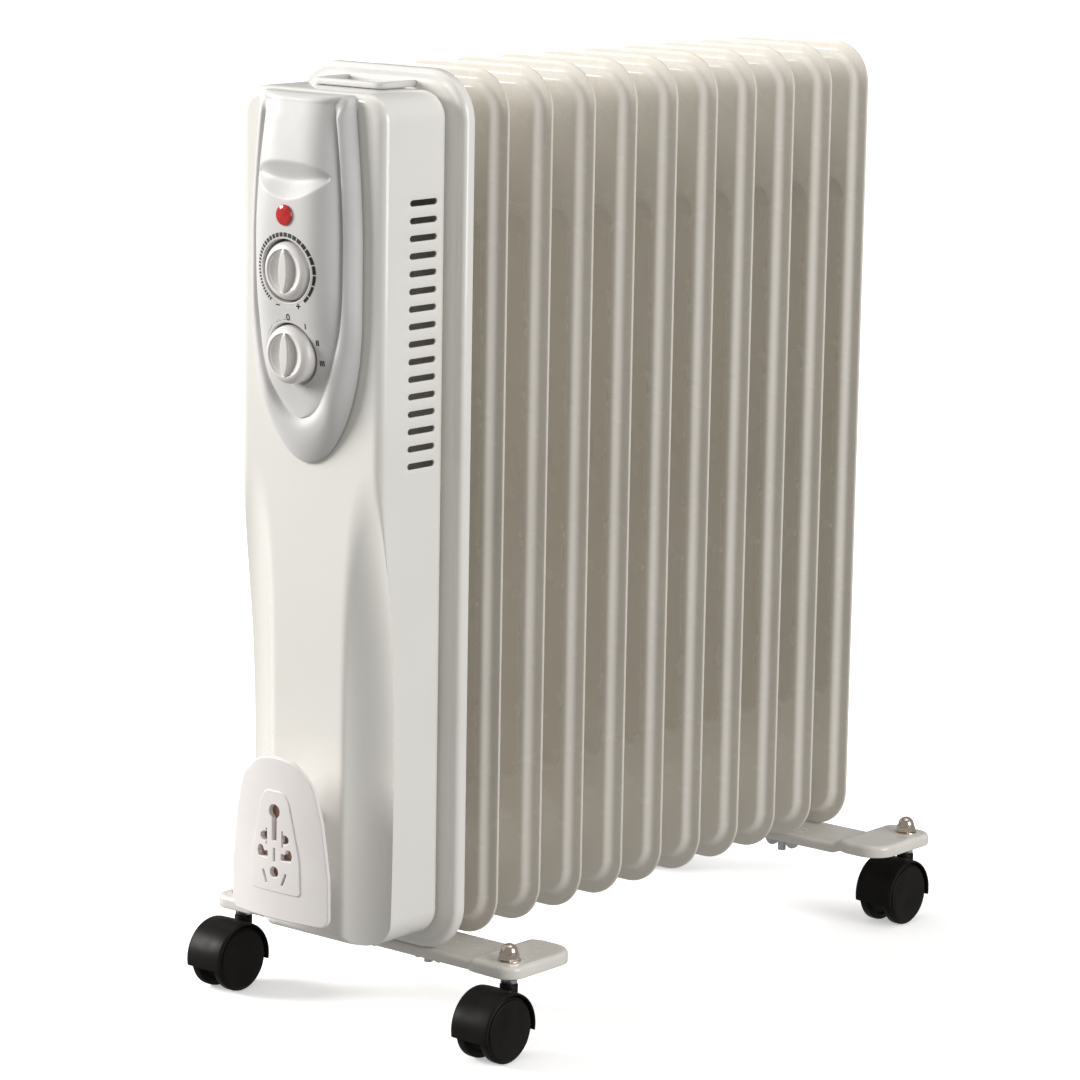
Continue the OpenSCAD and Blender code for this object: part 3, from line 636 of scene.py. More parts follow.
def crown_y(x, z):
    """Depth of the bulging front of the control panel, without its recess"""
    x = np.asarray(x, float)
    z = np.asarray(z, float)
    middle = CROWN_FRONT + CROWN_BOW - np.sqrt(CROWN_BOW ** 2 - (z - CROWN_Z) ** 2)
    middle = soft_min(middle, CROWN_TIP, 1.5)
    rise = EDGE_RISE * smooth_step(-z, -EDGE_RISE_Z[1], -EDGE_RISE_Z[0])
    edge = -soft_min(rise - CROWN_EDGE, -middle - 0.6, 0.5)
    half = shield_half(z, INNER)
    share = np.where(half < 0.5, 1, np.abs(x) / np.maximum(half, 0.5))
    return middle + (edge - middle) * np.clip(share, 0, 1) ** 4.5


def recess_depth(x, z):
    """Depth of the leaf-shaped finger recess: a soft valley between two slopes"""
    t = np.clip(np.abs(x) / RECESS_HALF, 0, 1)
    top = RECESS_Z + RECESS_UP * (1 - t ** 2.6) ** 0.6
    low = RECESS_Z - RECESS_DOWN * (1 - t ** 1.8) ** 0.9
    tall = np.maximum(top - low, 0.5)
    place = np.clip((z - low) / tall, 0, 1)
    valley = np.maximum(1.014 - np.sqrt((2 * place - 1) ** 2 + 0.03), 0)
    ends = (tall / (RECESS_UP + RECESS_DOWN)) ** 0.6 * (1 - smooth_step(t, 0.9, 1.0))
    return RECESS_DEPTH * valley * ends


def panel_y(x, z):
    """The crown with its finger recess, sunk below the cups of the two knobs"""
    y = crown_y(x, z) + recess_depth(x, z)
    for centre, seat in ((THERMOSTAT_Z, THERMOSTAT_SEAT), (POWER_Z, POWER_SEAT)):
        away = np.hypot(x, z - centre)
        sunk = np.maximum(y, seat + 0.9)
        y = y + (sunk - y) * (1 - smooth_step(away, SEAT_R + 0.4, SEAT_R + 1.5))
    return y


def dial_ring(r):
    """X and Z of a ring of points round a dial's axis"""
    angles = np.radians(3 * np.arange(120))
    return np.stack([r * np.sin(angles), r * np.cos(angles)], 1)


def add_cup(shape, centre, seat):
    """A round cup with a softened edge that follows the crown"""
    rows = []
    for r, sink in ((SEAT_R + 1.9, 0.05), (SEAT_R + 1.5, -0.015), (SEAT_R + 0.6, -0.02), (SEAT_R + 0.3, 0.06),
            (SEAT_R + 0.1, 0.25), (SEAT_R, 0.6)):
        x, z = (dial_ring(r) + (0, centre)).T
        rows.append(xyz(x, np.minimum(crown_y(x, z) + sink, seat), z))
    rows += [at_y(dial_ring(r) + (0, centre), seat) for r in (SEAT_R, 0)]
    shape.loops(rows)


def shield_loop(form, places, top_steps):
    """Outline points: up the right side, across the top and down the left side"""
    z = form["low"] + (form["top"] - form["low"]) * places
    half = shield_half(z, form)
    right = np.stack([half, z], 1)
    t = np.linspace(1, -1, top_steps + 1)[1:-1]
    top = np.stack([half[-1] * t, np.full(len(t), form["top"])], 1)
    left = (right * np.array([-1, 1]))[::-1]
    return np.concatenate([right, top, left[:-1]])


def make_control_panel():
    steps = np.arange(PANEL_ROWS + 1)
    places = 1 - np.cos(np.radians(90 * (steps / PANEL_ROWS)))
    start = places[TIP_ROWS]
    places[TIP_ROWS:] = start + (1 - start) * (steps[TIP_ROWS:] - TIP_ROWS) / (PANEL_ROWS - TIP_ROWS)
    inner = shield_loop(INNER, places, PANEL_COLUMNS)
    outer = shield_loop(OUTER, places, PANEL_COLUMNS)
    z = INNER["low"] + (INNER["top"] - INNER["low"]) * places
    half = shield_half(z, INNER)
    u = np.linspace(1, -1, PANEL_COLUMNS + 1)
    x = half[:, None] * u
    z = z[:, None]
    shape = Shape()
    shape.loops(xyz(x, panel_y(x, z), z), closed=False)
    # The ridge between the two outlines: its inner wall faces the dials and its crest fades at the top.
    # Over the straight top the panel rounds back onto the casing instead
    edge_y = crown_y(inner[:, 0], inner[:, 1])
    over = smooth_step(inner[:, 1], 611, INNER["top"])
    corner = np.clip((outer[:, 1] - 619) / (OUTER["top"] - 619), 0, 1)
    outer[:, 0] *= 1 - 0.11 * (1 - np.sqrt(1 - corner ** 2))
    crest = edge_y - RIDGE_HEIGHT
    lip = np.full(len(inner), CASING_FRONT - 1.6)
    profile = [(0.0, 0.0, 0), (0.03, 0.10, 0), (0.08, 0.42, 0), (0.14, 0.76, 0), (0.20, 0.93, 0), (0.26, 1.0, 0),
        (0.33, 0.98, 0), (0.45, 0.93, 0), (0.58, 0.81, 0), (0.70, 0.65, 0), (0.80, 0.49, 0), (0.88, 0.33, 0),
        (0.95, 0.16, 0), (0.99, 0.05, 0), (1.0, 0.0, 0)]
    # The moulding's lower edge turns in and leaves a narrow gap above the casing
    profile += [(0.99, 0.0, 0.35), (0.93, 0.0, 0.5), (0.90, 0.0, 0.6), (0.90, 0.0, 2.2)]
    rows = []
    for i, (share, height, back) in enumerate(profile):
        start_y = edge_y if i < 5 else lip
        ridge_y = start_y + (crest - start_y) * height + back
        angle = math.radians(90 * min(i / 9, 1))
        top_y = edge_y + TOP_R * (1 - math.cos(angle)) + max(i / 9 - 1, 0) * 12
        used = (1 - over) * share + over * math.sin(angle)
        flat = inner + (outer - inner) * used[:, None]
        rows.append(at_y(flat, (1 - over) * ridge_y + over * top_y))
    shape.loops(rows)
    add_cup(shape, THERMOSTAT_Z, THERMOSTAT_SEAT)
    add_cup(shape, POWER_Z, POWER_SEAT)
    piece("control_panel_moulding", shape, ["panel_moulding"],
        stands_for=["control_panel"], crease=60)


# The printed scale: its outer radius, the angles of its ends and the thickness of the print
SCALE_R = 24.7
MARK_R = 24.2
COOL_END = -145.0
HOT_END = 141
PRINT_LIFT = 0.12


def surface_strip(shape, across, along):
    """A thin printed patch on the crown. across and along are functions of (s, t) in 0 to 1"""
    rows = []
    for s in np.linspace(0, 1, 5):
        row = []
        for t in (0, 0.5, 1):
            x = across(s, t)
            z = along(s, t)
            row.append((x, float(crown_y(x, z)) - PRINT_LIFT, z))
        rows.append(row)
    shape.loops(rows, closed=False)


def print_bar(shape, x0, z0, x1, z1, width):
    """A printed straight stroke"""
    along = Vector((x1 - x0, z1 - z0))
    side = Vector((-along.y, along.x)).normalized() * width / 2
    surface_strip(shape, lambda s, t: x0 + along.x * s + side.x * (2 * t - 1),
        lambda s, t: z0 + along.y * s + side.y * (2 * t - 1))


def print_arc(shape, centre, r0, r1, from_angle, to_angle):
    """A printed stretch of a ring. Angles are clockwise from the top, in degrees"""
    def angle(s):
        return math.radians(from_angle + (to_angle - from_angle) * s)
    surface_strip(shape, lambda s, t: (r0 + (r1 - r0) * t) * math.sin(angle(s)),
        lambda s, t: centre + (r0 + (r1 - r0) * t) * math.cos(angle(s)))


def make_dial_marks():
    shape = Shape()
    # Dashes grow from fine ones at the cool end to long ones at the hot end
    angle = COOL_END
    while angle < HOT_END - 3:
        share = (angle - COOL_END) / 285
        length = 2.6 + 18.5 * share ** 2.1
        gap = 2.4 - 0.6 * share
        depth = 2.2 + 0.5 * float(smooth_step(share, 0.1, 0.42)) - 0.8 * float(smooth_step(share, 0.58, 0.9))
        print_arc(shape, THERMOSTAT_Z, SCALE_R - depth, SCALE_R, angle, min(angle + length, HOT_END))
        angle += length + gap
    print_bar(shape, -9.7, THERMOSTAT_Z - 22.4, -6.5, THERMOSTAT_Z - 22.6, 0.8)
    print_bar(shape, 8.0, THERMOSTAT_Z - 21.9, 11.6, THERMOSTAT_Z - 21.9, 0.9)
    print_bar(shape, 9.8, THERMOSTAT_Z - 23.7, 9.8, THERMOSTAT_Z - 20.1, 0.9)
    # 0, I, II and III round the power knob
    for ring in range(16):
        a0 = math.radians(22.5 * ring)
        a1 = math.radians(22.5 * (ring + 1))
        middle = POWER_Z + MARK_R
        print_bar(shape, 1.2 * math.sin(a0), middle + 1.85 * math.cos(a0), 1.2 * math.sin(a1),
            middle + 1.85 * math.cos(a1), 0.8)
    for count, turn in ((1, 36), (2, 67), (3, 99)):
        x = MARK_R * math.sin(math.radians(turn))
        z = POWER_Z + MARK_R * math.cos(math.radians(turn))
        for k in range(count):
            off = (k - (count - 1) / 2) * 1.2
            print_bar(shape, x + off, z - 1.8, x + off, z + 1.8, 0.75)
    piece("dial_marks", shape, ["ink"], weld=0)


def make_lens():
    shape = Shape()
    shape.lathe([(6.75, -90.6), (6.75, -92.9), (6.62, -93.25), (6.3, -93.5)], (0, 0, LAMP_Z), "y", 48)
    shape.lathe([(6.3, -93.5), (4.6, -93.78), (2.4, -93.95), (0, -94)], (0, 0, LAMP_Z), "y", 12)
    piece("lamp_lens", shape, ["red_lens"], stands_for=["indicator_lens"], crease=4)


# ---------- knobs ----------

# The face of a knob: a bar across it between two hollows
FACE_R = 12.6
GRIP_R = 14.3
BAR_HALF = 3.2
HOLLOW_DEPTH = 5.6


def knob_front(x, z):
    """How far the knob's front stands above its base plane"""
    r = np.hypot(x, z)
    face = 13.0 + 0.7 * np.sqrt(np.clip(1 - (r / 15.5) ** 2, 0, 1))
    shoulder = 7.0 + 6.0 * np.sqrt(np.clip(1 - np.clip((r - FACE_R) / 6.35, 0, 1) ** 2.2, 0, 1))
    height = np.where(r < FACE_R, face, np.minimum(face, shoulder))
    edge = np.sqrt(np.clip(GRIP_R ** 2 - z ** 2, 0, None))
    bar = BAR_HALF - 2.7 * (np.abs(z) / GRIP_R) ** 2
    place = (np.abs(x) - bar) / np.maximum(edge - bar, 0.3)
    hollow = smooth_step(place, 0.0, 0.26) * (1 - np.clip(place, 0, 1) ** 1.5)
    return height - HOLLOW_DEPTH * hollow * np.clip(1 - (z / GRIP_R) ** 2, 0, 1) ** 0.6


def make_knob(name, centre, seat, body, node):
    shape = Shape()
    back = seat - 0.5
    rows = []
    for r in np.concatenate([np.linspace(0, 15.2, 36), np.linspace(15.6, 18.9, 12)]):
        loop = dial_ring(r)
        rows.append(at_y(loop, back - knob_front(loop[:, 0], loop[:, 1])))
    for r, height in ((KNOB_R, 6.6), (KNOB_R, 0.5), (KNOB_R - 0.3, 0.1), (KNOB_R - 0.8, 0.0), (0, 0.0)):
        rows.append(at_y(dial_ring(r), back - height))
    shape.loops(np.array(rows) + (0, 0, centre))
    piece(name, shape, ["knob_moulding"], body, [node], crease=50)


# ---------- grip ----------


def swept(path, half_w, half_h, r):
    """A rounded bar along a path of points"""
    corners = [(-half_w, -half_h, r), (half_w, -half_h, r), (half_w, half_h, r), (-half_w, half_h, r)]
    section = rounded_corners(corners, 5)
    path = np.array(path, float)
    rows = []
    for i in range(len(path)):
        along = path[min(i + 1, len(path) - 1)] - path[max(i - 1, 0)]
        along /= np.linalg.norm(along)
        side = np.cross(along, (0, 0, 1))
        side /= np.linalg.norm(side)
        top = np.cross(side, along)
        rows.append(path[i] + section[:, :1] * side + section[:, 1:] * top)
    return rows


def bent(corners, steps=7):
    """A path through (x, y, z, radius) points, its bends rounded in plan"""
    flat = []
    for i, (x, y, z, r) in enumerate(corners):
        if r == 0:
            flat.append((x, y, z))
            continue
        here = Vector((x, y, z))
        first = here + (Vector(corners[i - 1][:3]) - here).normalized() * r
        last = here + (Vector(corners[i + 1][:3]) - here).normalized() * r
        for k in range(steps + 1):
            t = k / steps
            flat.append(tuple(first * (1 - t) ** 2 + here * (2 * t * (1 - t)) + last * t ** 2))
    return flat


def make_handle():
    shape = Shape()
    path = bent([(-29.0, -3.2, 630.7, 0), (-29.0, -12, 630.6, 0), (-28.6, -33.2, 630.5, 5), (28.6, -33.2, 630.5, 5),
        (29.0, -12, 630.6, 0), (29.0, -3.2, 630.7, 0)])
    shape.loops(swept(path, 2.6, 2.2, 1.5), cap_first=True, cap_last=True)
    # The finger well: its rim lies on the casing and its walls go down from it
    near, far = WELL_Y
    rows = []
    for grow, rise, y_grow in ((2.6, 0.05, 1.4), (2.5, 0.7, 1.3), (1.9, 1.0, 0.8), (0.2, 0.9, 0.0),
            (-0.8, 0.2, -0.6), (-1.2, -1.5, -0.9), (-1.6, -19, -1.2), (-2.6, -22.4, -2.2), (-5, -24, -4.5)):
        side = WELL_HALF + grow
        front = near - y_grow
        back = far + y_grow
        loop = rounded_corners([(-side, front, 2.4), (side, front, 2.4), (side, back, 2.4), (-side, back, 2.4)], 5)
        rows.append(xyz(loop[:, 0], loop[:, 1], CASING_TOP + rise))
    shape.loops(rows, cap_last=True)
    piece("grip_moulding", shape, ["panel_moulding"], stands_for=["handle"], crease=45)


# ---------- cord holder ----------

HOLDER_FRONT = -99.0
HOLDER_BEND = 180.0
HOLDER_BOTTOM = 88.5
HOLDER_TOP = 197.5
HUB_HALF = 17.5
HUB_LOW = 98
HUB_HIGH = 172


def holder_outline():
    side = [(43.6, HOLDER_BOTTOM, 7), (43.2, 122, 30), (38, 159, 60), (31.5, 182, 16), (16, 195.5, 18)]
    left = [(-x, z, r) for x, z, r in reversed(side)]
    return rounded_corners(side + [(0, HOLDER_TOP + 0.6, 40)] + left, 8)


def parking_holes():
    """Holes that take the prongs of a parked plug"""
    keyhole = [(4.6 * math.sin(a), 161.3 - 4.6 * math.cos(a)) for a in np.radians(range(24, 337, 12))]
    keyhole += [(-1.85, 141.7 + 0.8), (-1.3, 141.7), (1.3, 141.7), (1.85, 141.7 + 0.8)]
    holes = [np.array(keyhole), circle_loop(0, 120.5, 3.5)]
    holes.append(rounded_corners([(-0.8, 127.5, 0.3), (0.8, 127.5, 0.3), (0.8, 136.5, 0.3), (-0.8, 136.5, 0.3)], 2))
    for s in (-1, 1):
        # A half disc with a thin slit along its flat side
        half = [(s * 6.6, 149.2), (s * 7.4, 149.2), (s * 7.6, 146.6)]
        half += [(s * (8.8 + 3.6 * math.sin(math.radians(a))), 143.6 + 3.0 * math.cos(math.radians(a)))
            for a in range(0, 181, 20)]
        half += [(s * 7.6, 140.6), (s * 7.4, 138.2), (s * 6.6, 138.2)]
        holes.append(np.array(half))
        kidney = [(s * 6.0, 129.4, 0.4), (s * 14.2, 129.4, 1.6), (s * 15.2, 133.5, 2.4), (s * 13.6, 137.4, 1.8),
            (s * 10.8, 136.6, 1.4), (s * 9.2, 133.4, 0.8), (s * 6.0, 133.9, 0.4)]
        holes.append(rounded_corners(kidney, 4))
        slit = []
        for u, v in ((-0.75, -4.4), (0.75, -4.4), (0.75, 4.4), (-0.75, 4.4)):
            a = math.radians(-22 * s)
            x = s * 8.4 + u * math.cos(a) - v * math.sin(a)
            slit.append((x, 116.6 + u * math.sin(a) + v * math.cos(a), 0.3))
        holes.append(rounded_corners(slit, 2))
    return holes


def bent_plate(points, front):
    """Bends a plate round an upright axis, with its front at a depth"""
    u, v, depth = points[:, 0], points[:, 1], points[:, 2]
    angle = u / HOLDER_BEND
    reach = HOLDER_BEND - depth
    y = HOLDER_BEND - reach * np.cos(angle) + front
    return xyz(reach * np.sin(angle), y, v)


def make_cord_holder():
    shape = Shape()
    cuts = [u for u in np.arange(-42, 42.1, 3)]
    holes = parking_holes()
    points, faces = plate(holder_outline(), holes, 3.0, 1.1, cuts)
    shape.add(bent_plate(points, HOLDER_FRONT + 0.55), faces)
    pad = rounded_corners(both_sides([(22, 107.2, 3), (21, 132, 30), (12, 169, 8), (8, 175.2, 6)]), 6)
    points, faces = plate(pad, holes, 1.0, 0.5, [u for u in cuts if abs(u) < 20])
    shape.add(bent_plate(points, HOLDER_FRONT), faces)
    # The hollow post between the plate and the casing. Its inner wall and floor are painted dark brown, as painted
    # shade for the hollow seen through the holes
    for inset, look in ((0.0, 0), (1.8, 1)):
        rows = []
        # The post narrows towards the casing, and its hollow ends in a floor behind the holes
        places = ((HOLDER_FRONT + 2.6, 0), (HOLDER_FRONT + 7, 1.2))
        if inset == 0:
            places += ((HOLDER_FRONT + 12, 2.8), (HOLDER_FRONT + 22, 5.0), (CASING_FRONT - 1.5, 6.5),
                (CASING_FRONT - 0.5, 6.0), (CASING_FRONT + 0.6, 5.0))
        for y, taper in places:
            side = HUB_HALF - taper - inset
            low = HUB_LOW + taper + inset
            high = HUB_HIGH - 1.6 * taper - inset
            rows.append(at_y(rounded_corners(both_sides([(side, low, 7), (side, high, 7)]), 6), y))
        shape.loops(rows, look, cap_last=inset > 0)
    thing = piece("cord_holder_moulding", shape, ["holder_moulding", "holder_painted_shade"],
        stands_for=["cord_holder"], crease=40)
    even_normals(thing)
    # A shallow dark brown tray behind the holes: painted shade standing in for the shadowed hollow seen through
    # them
    rows = []
    for inset, y in ((3.2, 4.6), (3.3, 5.0), (3.8, 5.4), (7.0, 5.5), (12.0, 5.5)):
        side = HUB_HALF - inset
        corners = both_sides([(side, HUB_LOW + inset, 4), (side, HUB_HIGH - inset, 4)])
        rows.append(at_y(rounded_corners(corners, 6), HOLDER_FRONT + y))
    piece("parking_holes_painted_shade", Shape().loops(rows, cap_last=True), ["holder_painted_shade"])


# ---------- feet ----------

FOOT_TOP = 64.0
FOOT_HALF = 135
FOOT_FRONT = -16.0
FOOT_REAR = 54.0
MIDDLE_REAR = 48.0
FOOT_ROUND = 3.2


def divided(loop, step):
    """The same closed outline with no side longer than a step"""
    points = []
    for here, there in zip(loop, np.roll(loop, -1, 0)):
        count = max(1, math.ceil(float(np.hypot(*(there - here))) / step))
        points += [here + (there - here) * i / count for i in range(count)]
    return np.array(points)


def filled(loop, step):
    """Triangles that fill an outline, with evenly spaced points inside it"""
    px, py = loop.T
    qx, qy = np.roll(loop, -1, 0).T
    inside = []
    for x in np.arange(px.min() + step / 2, px.max(), step):
        for y in np.arange(py.min() + step / 2, py.max(), step):
            if np.hypot(px - x, py - y).min() < step * 0.6:
                continue
            spans = (py > y) != (qy > y)
            meets = px + (y - py) / np.where(spans, qy - py, 1) * (qx - px)
            if np.sum(spans & (meets > x)) % 2:
                inside.append((x, y))
    count = len(loop)
    places = [Vector(p) for p in loop.tolist() + inside]
    edges = [(i, (i + 1) % count) for i in range(count)]
    found = delaunay_2d_cdt(places, edges, [], 1, 1e-6)
    return np.array([tuple(v) for v in found[0]]), found[2]


def make_foot(name, seat, stem_y, flip, node):
    """A pressed plate: raised ends that carry the castors, and a low middle under the fins"""
    half_side = [(86, 0, 5), (99, FOOT_FRONT + 1.2, 8), (FOOT_HALF, FOOT_FRONT, 12), (FOOT_HALF, FOOT_REAR, 18),
        (104, FOOT_REAR, 18), (91, MIDDLE_REAR, 14)]
    outline = divided(rounded_corners(both_sides(half_side), 8), 2.0)

    def level(x):
        return seat + (FOOT_TOP - seat) * smooth_step(np.abs(x), 87, 99)

    def skirt(x):
        return 7.0 + 1.5 * smooth_step(np.abs(x), 87, 99)

    def put(px, py, pz):
        return xyz(px, stem_y + (-py if flip else py), pz)

    shape = Shape()
    for inset, drop in ((FOOT_ROUND, 0.0), (2.0, 2.0)):
        points, faces = filled(offset_loop(outline, -inset), 2.4)
        shape.add(put(points[:, 0], points[:, 1], level(points[:, 0]) - drop), faces)
    rows = []
    for inset, drop in quarter_round(7):
        loop = offset_loop(outline, -FOOT_ROUND * inset)
        rows.append(put(loop[:, 0], loop[:, 1], level(loop[:, 0]) - FOOT_ROUND * drop))
    for inset, share in ((0.0, 0.55), (0.0, 0.86), (0.15, 0.96), (0.5, 1.0), (1.2, 0.98), (1.7, 0.88),
            (1.9, 0.6)):
        loop = offset_loop(outline, -inset)
        top = level(loop[:, 0]) - FOOT_ROUND
        rows.append(put(loop[:, 0], loop[:, 1], top - (skirt(loop[:, 0]) - FOOT_ROUND) * share))
    loop = offset_loop(outline, -2.0)
    rows.append(put(loop[:, 0], loop[:, 1], level(loop[:, 0]) - 2.0))
    shape.loops(rows)
    # A washer face pressed round each stem
    for side in (-1, 1):
        shape.lathe([(11.5, FOOT_TOP - 0.6), (10.6, FOOT_TOP + 0.12), (9.6, FOOT_TOP + 0.22), (0, FOOT_TOP + 0.22)],
            (side * STEM_X, stem_y, 0), "z", 48)
    piece(name, shape, ["foot_enamel"], stands_for=[node], crease=50)


def make_cap_nuts(stem_ys):
    shape = Shape()
    for side in (-1, 1):
        for y in stem_ys:
            at = (side * STEM_X, y, FOOT_TOP)
            shape.lathe([(0, 0.2), (7.7, 0.2), (7.9, 0.5), (7.8, 0.9), (7.1, 1.1), (5, 1.1)], at, "z", 48)
            shape.lathe([(5, 1.0), (6.8, 1.0), (7.5, 1.6), (7.5, 4.4), (6.7, 5.3), (5, 5.3)], at, "z", 6, start=12)
            dome = [(5.75, 5.0), (5.8, 6.0)]
            dome += [(5.8 * math.cos(a), 6.0 + 5.8 * math.sin(a)) for a in np.radians(range(10, 90, 10))]
            shape.lathe(dome + [(0, 11.8)], at, "z", 48)
    piece("dome_nuts", shape, ["nickel_plate"], stands_for=["cap_nuts"], crease=30)


# ---------- castors ----------

HOOD_R = 25.5
HOOD_HALF = 15.5
HOOD_CUT = 10.2


def make_castor(corner, joints):
    swivel = joints[f"{corner}_swivel"]["pos_m"]
    roll = joints[f"{corner}_roll_a"]["pos_m"]
    stem = (swivel[0] / MM, swivel[1] / MM - FIN_ONE_Y)
    wheel = (roll[0] / MM, roll[1] / MM - FIN_ONE_Y, roll[2] / MM)
    yoke = f"{corner}_yoke"
    shape = Shape()
    # Hood: a barrel over the wheels, open below
    edge = ((1.9, 0.6), (1.7, 0.1), (1.2, 0), (0.9, 0.15), (0.45, 0.9), (0.25, 2.2))
    outside = [(HOOD_R - gap, h - HOOD_HALF) for gap, h in edge] + [(HOOD_R - 0.06, -7), (HOOD_R, 0)]
    outside += [(r, -h) for r, h in reversed(outside[:-1])]
    inside = [(HOOD_R - 2.0, h) for h in (HOOD_HALF - 1, 0, 1 - HOOD_HALF)]
    section = outside + inside
    angles = np.radians((180 + 2 * HOOD_CUT) * np.arange(73) / 72 - HOOD_CUT)
    rows = []
    for a in angles:
        rows.append([(wheel[0] + h, wheel[1] + r * math.cos(a), wheel[2] + r * math.sin(a)) for r, h in section])
    shape.loops(rows, cap_first=True, cap_last=True)
    # Web between the wheels
    web_rows = []
    for x, inset in ((-5.5, 0.4), (-5.2, 0.0), (5.2, 0.0), (5.5, 0.4)):
        r = (HOOD_R - 1.0) * (1 - inset / HOOD_R)
        web_rows.append([(wheel[0] + x, wheel[1] + r * math.cos(a), wheel[2] + r * math.sin(a)) for a in angles])
    shape.loops(web_rows, cap_first=True, cap_last=True)
    shape.lathe([(0, -6.3), (6.2, -6.3), (6.2, 6.3), (0, 6.3)], wheel, "x", 32)
    # Neck that takes the stem
    shape.lathe([(5.4, 33), (5.7, 40), (6.05, 43), (6.1, 47.9), (5.8, 48.4), (3.6, 48.5), (3.6, 44)],
        (stem[0], stem[1], 0), "z", 40)
    piece(f"{corner}_hood_moulding", shape, ["black_nylon"], yoke, [f"{corner}_hood"], crease=32)
    post = Shape()
    post.lathe([(0, 33.2), (3.5, 33.2), (3.5, 49), (5.3, 49.1), (5.5, 49.4), (5.5, 51.6), (4.4, 52.2), (4.2, 62),
        (3.5, 62.4), (3.4, 70), (0, 70.4)], (stem[0], stem[1], 0), "z", 40)
    piece(f"{corner}_stem_pin", post, ["zinc_plate"], "root", [f"{corner}_stem"], crease=35)
    for letter, side in (("a", -1), ("b", 1)):
        disc = Shape()
        profile = [(2.6, 6.95), (6.0, 6.95), (7.0, 8.2), (17.5, 8.2), (18.6, 6.95), (21.6, 6.9), (22.3, 7.3),
            (WHEEL_R, 8.2), (WHEEL_R, 11.8), (22.3, 12.9), (21.7, 13.5), (20.9, 13.7), (20.75, 14.0), (20.6, 14.45),
            (20.2, 14.8), (19.4, 14.95), (16.0, 15.02), (11.0, 15.08), (6.0, 15.1), (0, 15.1)]
        disc.lathe([(r, side * h) for r, h in profile], wheel, "x", 80)
        piece(f"{corner}_wheel_{letter}_disc", disc, ["black_nylon"], f"{corner}_roller_{letter}",
            [f"{corner}_wheel_{letter}"], crease=35)


# ---------- small trim ----------


def make_trim():
    bush = Shape()
    bush.lathe([(4.0, 77), (6.6, 76.9), (6.9, 76.4), (6.9, 71), (8.6, 71), (9.0, 70.6), (9.0, 69.2), (8.3, 68.2),
        (5.0, 68.0), (4.2, 68.3), (4.0, 69.0), (4.0, 77)], (-25, -36, 0), "z", 40)
    piece("cord_bush_ring", bush, ["bush_rubber"], stands_for=["cord_bush"], crease=40)
    screws = Shape()
    for x in (-30, 30):
        screws.lathe([(0, 69.4), (0.9, 69.4), (1.0, 69.0), (2.6, 69.1), (3.15, 69.7), (3.2, 70.9), (1.25, 71),
            (1.25, 76), (0, 76)], (x, -7.2, 0), "z", 24)
    piece("casing_screw_heads", screws, ["nickel_plate"], stands_for=["casing_screws"])


def dress_cad_nodes():
    """Gives the CAD pieces that stay their own finishes"""
    names = {"zinc_steel": "zinc_plate", "fin_paint": "fin_enamel", "casing_paint": "casing_enamel",
        "panel_plastic": "panel_moulding", "knob_plastic": "knob_moulding", "nickel": "nickel_plate"}
    for part in frame["record"]["subparts"]:
        slot = part["material_slot"]
        thing = frame["nodes"][part["node"]]
        thing.data.materials.clear()
        thing.data.materials.append(LOOKS[names.get(slot, slot)])


# ---------- stage ----------

TARGET = Vector((0.0821, (FIN_ONE_Y + 68) * MM, 0.3294))
AZIMUTH = 39.65
ELEVATION = 10.84
ROLL = 0.97
DISTANCE = 2.7955
LENS = 141.12
FLOOR_HALF = 30.0


def make_camera():
    data = bpy.data.cameras.new("camera")
    data.lens = LENS
    data.sensor_width = 36
    camera = new_object("camera", data)
    a, e, r = (math.radians(v) for v in (AZIMUTH, ELEVATION, ROLL))
    back = Vector((math.sin(a) * math.cos(e), -math.cos(a) * math.cos(e), math.sin(e)))
    right = Vector((math.cos(a), math.sin(a), 0))
    up = back.cross(right)
    across = right * math.cos(r) + up * math.sin(r)
    upward = up * math.cos(r) - right * math.sin(r)
    turn = Matrix((across, upward, back)).transposed().to_4x4()
    camera.matrix_world = Matrix.Translation(TARGET + back * DISTANCE) @ turn
    bpy.context.scene.camera = camera


def make_light(name, place, aim, size, power, tint=(1, 1, 1)):
    data = bpy.data.lights.new(name, "AREA")
    data.shape = "RECTANGLE"
    data.size, data.size_y = size
    data.energy = power
    data.color = tint
    lamp = new_object(name, data)
    lamp.location = place
    lamp.rotation_euler = (Vector(aim) - Vector(place)).to_track_quat("-Z", "Y").to_euler()


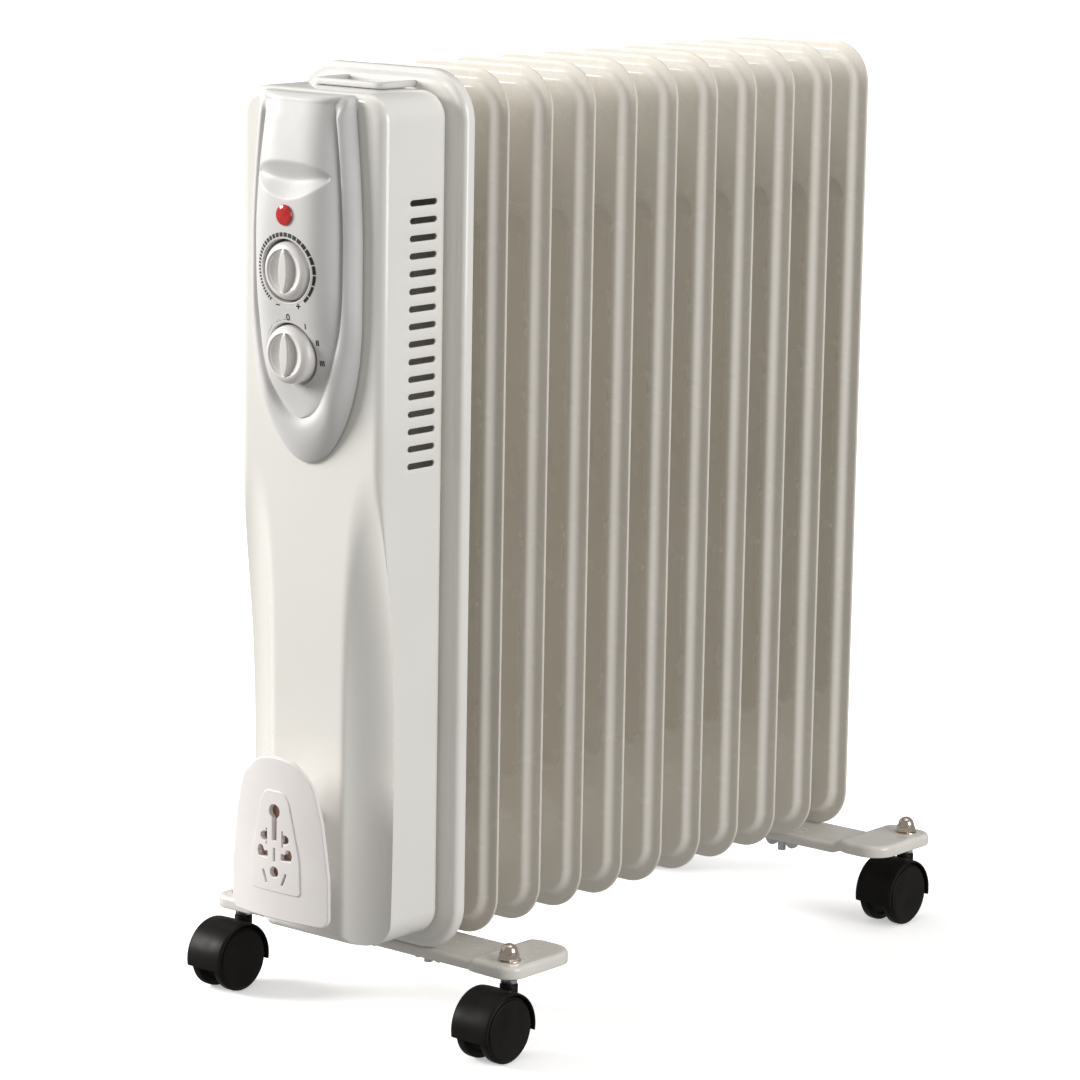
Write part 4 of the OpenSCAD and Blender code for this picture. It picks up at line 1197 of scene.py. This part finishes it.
def make_stage():
    floor_mesh = bpy.data.meshes.new("floor")
    corners = [(-FLOOR_HALF, -FLOOR_HALF, 0), (FLOOR_HALF, -FLOOR_HALF, 0), (FLOOR_HALF, FLOOR_HALF, 0),
        (-FLOOR_HALF, FLOOR_HALF, 0)]
    floor_mesh.from_pydata(corners, [], [(0, 1, 2, 3)])
    floor = new_object("floor", floor_mesh)
    floor_look = finish_look("floor_paper", (0.90, 0.90, 0.90), (0.93, 0.93, 0.93), 2, (0.7, 0.8), 5,
        [(40, 0.0001)])
    tree = floor_look.node_tree
    shader = tree.nodes["Principled BSDF"]
    # The paper glows more away from the heater, so only the contact shadows show
    coords = add_node(tree, "TexCoord", (-1050, 600))
    length = add_node(tree, "VectorMath", (-800, 600))
    length.operation = "LENGTH"
    tree.links.new(coords.outputs["Object"], length.inputs[0])
    glow = add_node(tree, "MapRange", (-500, 600), From_Min=0.25, From_Max=1.0, To_Min=0.42, To_Max=1.0)
    glow.interpolation_type = "SMOOTHSTEP"
    tree.links.new(length.outputs["Value"], glow.inputs["Value"])
    tree.links.new(glow.outputs["Result"], shader.inputs["Emission Strength"])
    shader.inputs["Emission Color"].default_value = (1, 1, 1, 1)
    floor_mesh.materials.append(floor_look)
    floor.visible_diffuse = False
    floor.visible_glossy = False
    world = bpy.data.worlds.new("studio")
    bpy.context.scene.world = world
    world.use_nodes = True
    tree = world.node_tree
    backdrop = tree.nodes["Background"]
    backdrop.inputs["Color"].default_value = (1, 1, 1, 1)
    backdrop.inputs["Strength"].default_value = 1.0
    ambient = add_node(tree, "Background", (0, 0), Color=(1, 0.985, 0.96, 1), Strength=0.36)
    path = add_node(tree, "LightPath", (0, 400))
    mix = add_node(tree, "MixShader", (250, 200))
    tree.links.new(path.outputs["Is Camera Ray"], mix.inputs[0])
    tree.links.new(ambient.outputs[0], mix.inputs[1])
    tree.links.new(backdrop.outputs[0], mix.inputs[2])
    tree.links.new(mix.outputs[0], tree.nodes["World Output"].inputs["Surface"])
    make_light("key", (-2.50, -1.75, 1.45), (0, -0.05, 0.35), (1.3, 1.3), 140, (1, 0.99, 0.97))
    make_light("right", (2.80, 0.20, 1.05), (0, 0.0, 0.35), (1.6, 2.0), 50)
    make_light("top", (0.1, 0.1, 2.8), (0, 0.05, 0.4), (1.6, 2.2), 15)
    bpy.context.scene.view_settings.view_transform = "Standard"


# ---------- everything ----------

make_camera()
make_stage()
dress_cad_nodes()
make_fins()
make_necks()
make_rim_frame()
make_casing()
make_control_panel()
make_dial_marks()
make_lens()
make_knob("thermostat_dial_knob", THERMOSTAT_Z, THERMOSTAT_SEAT, "thermostat_dial", "thermostat_knob")
make_knob("power_dial_knob", POWER_Z, POWER_SEAT, "power_dial", "power_knob")
make_handle()
make_cord_holder()
joints = {joint["name"]: joint for joint in frame["joints"]}
stems = [joints[f"{end}_left_swivel"]["pos_m"][1] / MM - FIN_ONE_Y for end in ("front", "rear")]
make_foot("front_foot_plate", FRAME_LOW.z, stems[0], False, "front_foot")
make_foot("rear_foot_plate", FIN_BOTTOM, stems[1], True, "rear_foot")
make_cap_nuts(stems)
for corner in ("front_left", "front_right", "rear_left", "rear_right"):
    make_castor(corner, joints)
make_trim()
